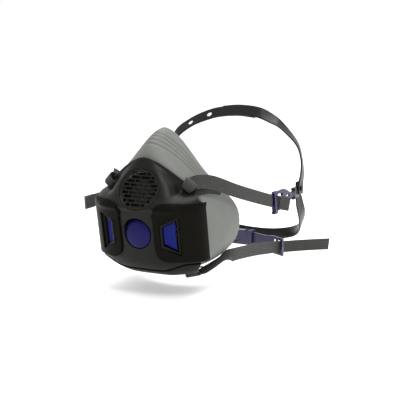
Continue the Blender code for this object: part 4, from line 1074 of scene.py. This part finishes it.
BACK_KNOTS = [
    ((72.5, 209.3, 25), (0, 1, 0)),
    ((72.5, 209.4, 14), (0, 1, 0)),
    ((73, 213, 1), (0.2, 0.9, 0.3)),
    ((71.6, 224, -13), (0.3, 0.6, 0.75)),
    ((64.8, 240, -28), (0.2, 0.3, 0.9)),
    ((50, 258, -39.5), (0.1, 0.2, 0.95)),
    ((25, 273, -47.5), (0.05, 0.1, 1)),
    ((0, 278, -50), (0, 0.1, 1)),
]
EAR_ROOT = np.array([72.5, 209.3, 14.6])  # where an ear's arm meets the back strip
EAR_HALF = [(-19, 1.1), (-4, 1.2), (-1.6, 2.5), (1.4, 2.5), (2.7, 1.1)]


def crown_knots(side, lift):
    top = [
        ((22.0 * side, 218.3, 94.4), (0, 0.5, 0.87)),
        ((0, 218.5, 96.2), (0, 0.47, 0.88)),
        ((-20.0 * side, 218.3, 94.5), (0, 0.5, 0.87)),
    ]
    return to_side(side, CROWN_KNOTS["left" if side > 0 else "right"]) + [
        (np.array(point) + CROWN_NORMAL * lift, np.array(wide)) for point, wide in top
    ]


def make_cradle():
    """The head cradle's three strips, with rounded edges, spare peg holes and forked ears."""
    section = plain_section(CRADLE_WIDTH, CRADLE_THICKNESS, 0.75)
    back = BACK_KNOTS + to_side(-1, BACK_KNOTS[-2::-1])
    back_strip = sweep("cradle_back", band_rows(back, 1.0), section)
    additions, cutters = [], []
    for side, label in SIDES:
        flip = np.array([side, 1, 1])
        pin = EAR_PIN * flip
        level = unit((EAR_PIN - EAR_ROOT) * flip)
        turn = (level, np.cross(Z, level), Z)
        additions.append(prism(f"add_ear_{label}", mirrored(EAR_HALF), pin, turn, -5.8, 5.8))
        cutters.append(box(f"cut_notch_{label}", pin - level * 0.2, turn, (7.4, 12, 7.0)))
        bore = [(0, -9), (1.3, -9), (1.3, 9), (0, 9)]
        cutters.append(turned(f"cut_bore_{label}", pin, turn, bore, 24))
    moulded(back_strip, cutters, additions, voxel=0.4, rounds=4)
    ride_as(back_strip, "harness", CRADLE_BLACK, ["back_strip"])
    for side, label, lift in ((1, "left", CROWN_LIFT), (-1, "right", 0.0)):
        rows = band_rows(crown_knots(side, lift), 1.0)
        strip = sweep(f"{label}_cradle_crown", rows, section)
        holes = []
        for x in CROWN_HOLES if side < 0 else ():
            nearest = int(np.argmin(np.abs(rows[0][:, 0] - x)))
            point, across, normal = (part[nearest] for part in rows)
            axes = (np.cross(across, normal), across, normal)
            holes.append(prism(f"cut_hole_{x}", ellipse(2.9, 2.3, 32), point, axes, -6, 6))
        moulded(strip, holes, voxel=0.4, rounds=4)
        ride_as(strip, "harness", CRADLE_BLACK, [f"{label}_crown_strip"])


EAR_STUD = np.array([74.2, 209.4, 17.5])
RIVET_PROFILE = [
    (0, -3.3), (2.3, -3.3), (2.7, -2.8), (2.7, -2.4), (1.8, -2.4),
    (1.8, 2.4), (2.7, 2.4), (2.7, 2.8), (2.3, 3.3), (0, 3.3),
]


def make_ear_rivet(side, label):
    """The low rivet that holds an ear's two strips together."""
    middle = EAR_STUD * np.array([side, 1, 1])
    rivet = turned(f"{label}_ear_rivet", middle, (Y, Z, (side, 0, 0)), RIVET_PROFILE, 40)
    rivet.data.set_sharp_from_angle(angle=math.radians(35))
    ride_as(rivet, "harness", CRADLE_BLACK, [f"{label}_ear_stud"])


# ---- neck strap and clasp
CLASP_Y, CLASP_Z, CLASP_SLOPE = 208.0, -40.4, -0.2
SOCKET_HALF_LENGTH, SOCKET_CENTRE_X = 18.0, 4.0
NECK_SEAM = 150.0  # the neck strap's two lengths meet at this depth
THROUGH_SLOT = (1, 0, 0.28)  # the neck strap's width direction in the chin guard's slot
ON_EDGE = (0, 0.1, -1)  # and beside the neck
NECK_FOLD = [
    ((30, 58.5, -40.4), THROUGH_SLOT),
    ((30, 52.5, -39.8), THROUGH_SLOT),
    ((30, 47.9, -40.6), THROUGH_SLOT),
    ((30, 46.4, -43.4), THROUGH_SLOT),
    ((30, 47.9, -46.2), THROUGH_SLOT),
    ((30.4, 52, -46.8), THROUGH_SLOT),
    ((31.6, 57, -45.8), (1, -0.05, 0.28)),
    ((35, 61.6, -43.6), (0.95, -0.28, 0.1)),
    ((41, 67, -39.2), (0.9, -0.42, 0.05)),
]
NECK_RUN = [
    ((48, 74.8, -33.4), (0.9, -0.42, 0.1)),
    ((51.2, 80, -31.8), (0.78, -0.4, -0.45)),
    ((53, 86, -31.6), (0.2, -0.1, -0.97)),
    ((53.6, 100, -32.6), ON_EDGE),
    ((52, 140, -37.4), ON_EDGE),
    ((51.2, 180, -43.4), ON_EDGE),
    ((51.3, 200, -46.4), ON_EDGE),
    ((52.2, 208, -47.6), ON_EDGE),
    ((54.4, 214.5, -48.6), ON_EDGE),
]
NECK_TAIL = [
    ((54.4, 214.5, -48.6), ON_EDGE),
    ((58.6, 225, -49.6), ON_EDGE),
    ((67, 243, -51.2), ON_EDGE),
    ((84, 278, -54.8), ON_EDGE),
]


def make_neck_strap(side, label):
    rows = band_rows(to_side(side, NECK_FOLD + NECK_RUN), STRAP_STEP)
    front, back = split_rows(rows, int(np.argmax(rows[0][:, 1] > NECK_SEAM)))
    lead = strap(f"{label}_jaw_strap", front)
    run = strap(f"{label}_nape_strap", back, len(front[0]) * STRAP_STEP)
    tail = strap(f"{label}_nape_tail", band_rows(to_side(side, NECK_TAIL), STRAP_STEP))
    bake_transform(lead)
    if side > 0:
        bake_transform(run)
        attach(tail, "neck_hook")
    else:
        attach(run, "neck_band")
        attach(tail, "neck_band")
    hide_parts(f"{label}_neck_loop", f"{label}_neck_strap")
    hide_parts(f"{label}_neck_tail")


def clasp_outline(side, rows):
    return [(side * x, CLASP_Z + h + CLASP_SLOPE * (x - 20)) for x, h in mirrored(rows)]


def clasp_cutters(side, label):
    cutters = []
    for start, end in ((46.6, 49.0), (50.8, 54.4)):
        outline = clasp_outline(side, [(start, 6.6), (end, 6.6)])
        name = f"cut_clasp_{label}_{start}"
        cutters.append(prism(name, outline, (0, CLASP_Y, 0), (X, Z, Y), -5, 5))
    return cutters


CLASP_PLATE = [(24.6, 6.4), (34.0, 7.2), (40.0, 7.8), (45.5, 9.6), (57.2, 9.6)]


def clasp_bars(side, label):
    """Round bars across the plate, which the webbing turns on."""
    bars = []
    for x in (45.4, 49.8, 56.0):
        z = CLASP_Z + CLASP_SLOPE * (x - 20)
        bars.append(box(f"add_bar_{label}_{x}", (side * x, CLASP_Y, z), (X, Z, Y), (2.2, 18.6, 4.4)))
    return bars


def make_clasp():
    middle = np.array([SOCKET_CENTRE_X, CLASP_Y, CLASP_Z])
    hook = prism("hook_plate", clasp_outline(1, CLASP_PLATE), (0, CLASP_Y, 0), (X, Z, Y), -1.5, 1.5)
    additions = [
        box("add_hook_neck", middle + (16.8, 0, 0), (X, Y, Z), (10.0, 2.0, 12.0)),
        box("add_hook_head", middle + (10.6, 0, 0), (X, Y, Z), (3.0, 5.2, 12.0)),
        *clasp_bars(1, "hook"),
    ]
    moulded(hook, clasp_cutters(1, "hook"), additions, voxel=0.26, rounds=3)
    ride_as(hook, "neck_hook", BUCKLE_BLUE, ["clasp_hook"])
    socket = box("socket_box", middle, (X, Y, Z), (2 * SOCKET_HALF_LENGTH, 8.6, 15.8))
    plate = [(x if x > 25 else 12.0, h) for x, h in CLASP_PLATE]
    additions = [
        prism("add_socket_plate", clasp_outline(-1, plate), (0, CLASP_Y, 0), (X, Z, Y), -1.5, 1.5),
        *clasp_bars(-1, "socket"),
    ]
    cutters = [
        box("cut_cavity", middle + (10.6, 0, 0), (X, Y, Z), (4.4, 6.4, 30)),
        box("cut_slit", middle + (16.0, 0, 0), (X, Y, Z), (8.0, 3.2, 30)),
        prism("cut_dish", ellipse(7.4, 5.2, 48), middle - (3.0, 0, 0), FRONT_AXES, 2.2, 8),
        *clasp_cutters(-1, "socket"),
    ]
    moulded(socket, cutters, additions, voxel=0.26, rounds=3)
    ride_as(socket, "neck_band", BUCKLE_BLUE, ["clasp_socket"])


# ---- pieces that keep their CAD shape
KEPT = (
    (SHUTTER_BLUE, ("left_shutter", "right_shutter")),
    (STEEL, ("left_shutter_pin", "right_shutter_pin")),
    (BUCKLE_BLUE, ("left_buckle_pin", "right_buckle_pin")),
    (INNER_BLACK, ("diaphragm_holder", "diaphragm_clamp_ring", "inner_frame")),
    (INNER_BLACK, ("left_port_seat", "right_port_seat", "exhalation_seat")),
    (VALVE_RUBBER, ("left_inhalation_flap", "right_inhalation_flap", "exhalation_flap", "diaphragm_gasket")),
    (FILM_PAINTED_SHADE, ("diaphragm_film",)),
)


def finish_kept_nodes():
    for material, names in KEPT:
        for name in names:
            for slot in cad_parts[name].material_slots:
                slot.material = material


# ---- floor, light and camera
CAMERA_AZIMUTH = math.radians(27.0)
CAMERA_ELEVATION = math.radians(9.7)
CAMERA_PLACE = (427.9, -716.5, 173.4)
LENS = 85.0  # on a 36 mm sensor
FLOOR_SIZE, FLOOR_DROP = 12.0, 0.0005  # in metres
FLOOR_SHADE = 0.86
FLOOR_GLOW = 0.28  # lifts the far floor to white and softens the shadow


def make_floor():
    low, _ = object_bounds()
    bpy.ops.mesh.primitive_plane_add(size=FLOOR_SIZE, location=(0, 0, low[2] - FLOOR_DROP))
    floor = bpy.context.object
    floor.name = "floor"
    nodes = Nodes("floor_white")
    nodes.mottle((FLOOR_SHADE,) * 3, 0.005, 3.0)
    nodes.set({"Roughness": 0.9, "Emission Color": (1, 1, 1, 1), "Emission Strength": FLOOR_GLOW})
    floor.data.materials.append(nodes.material)


def add_area_light(name, position, target, size, power, gloss):
    data = bpy.data.lights.new(name, "AREA")
    data.shape = "RECTANGLE"
    data.size, data.size_y = size
    data.energy = power
    data.specular_factor = gloss
    light = bpy.data.objects.new(name, data)
    light.location = position
    direction = Vector(target) - Vector(position)
    light.rotation_euler = direction.to_track_quat("-Z", "Y").to_euler()
    bpy.context.scene.collection.objects.link(light)


def make_lights():
    bpy.context.scene.view_settings.view_transform = "Standard"
    world = bpy.data.worlds.new("studio")
    world.use_nodes = True
    background = world.node_tree.nodes["Background"]
    background.inputs["Color"].default_value = (1, 1, 1, 1)
    background.inputs["Strength"].default_value = 1.0
    bpy.context.scene.world = world
    add_area_light("key", (0.5, -0.5, 0.8), (0, 0.0, 0), (0.3, 0.3), 4.0, 1.0)
    add_area_light("top", (0.1, 0.15, 1.1), (0, 0.02, 0), (0.9, 0.9), 12.0, 0.12)


def make_camera():
    data = bpy.data.cameras.new("camera")
    data.lens = LENS
    data.sensor_width = 36.0
    camera = bpy.data.objects.new("camera", data)
    bpy.context.scene.collection.objects.link(camera)
    level = math.cos(CAMERA_ELEVATION)
    x, y = math.sin(CAMERA_AZIMUTH) * level, -math.cos(CAMERA_AZIMUTH) * level
    back = Vector((x, y, math.sin(CAMERA_ELEVATION)))
    right = Vector((math.cos(CAMERA_AZIMUTH), math.sin(CAMERA_AZIMUTH), 0))
    up = back.cross(right)
    rotation = Matrix((right, up, back)).transposed()
    camera.matrix_world = Matrix.Translation(Vector(place(CAMERA_PLACE))) @ rotation.to_4x4()
    bpy.context.scene.camera = camera


make_camera()
make_cover()
make_grille()
make_button()
make_button_spring()
make_chin_guard()
make_facepiece()
make_inner_gasket()
make_cradle()
make_clasp()
for each_side, each_label in SIDES:
    make_side_panel(each_side, each_label)
    make_port_ring(each_side, each_label)
    make_shutter(each_side, each_label)
    make_upper_strap(each_side, each_label)
    make_upper_tail(each_side, each_label, LEFT_TAIL if each_side > 0 else RIGHT_TAIL)
    make_buckle(each_side, each_label)
    make_ear_rivet(each_side, each_label)
    make_neck_strap(each_side, each_label)
finish_kept_nodes()
make_floor()
make_lights()
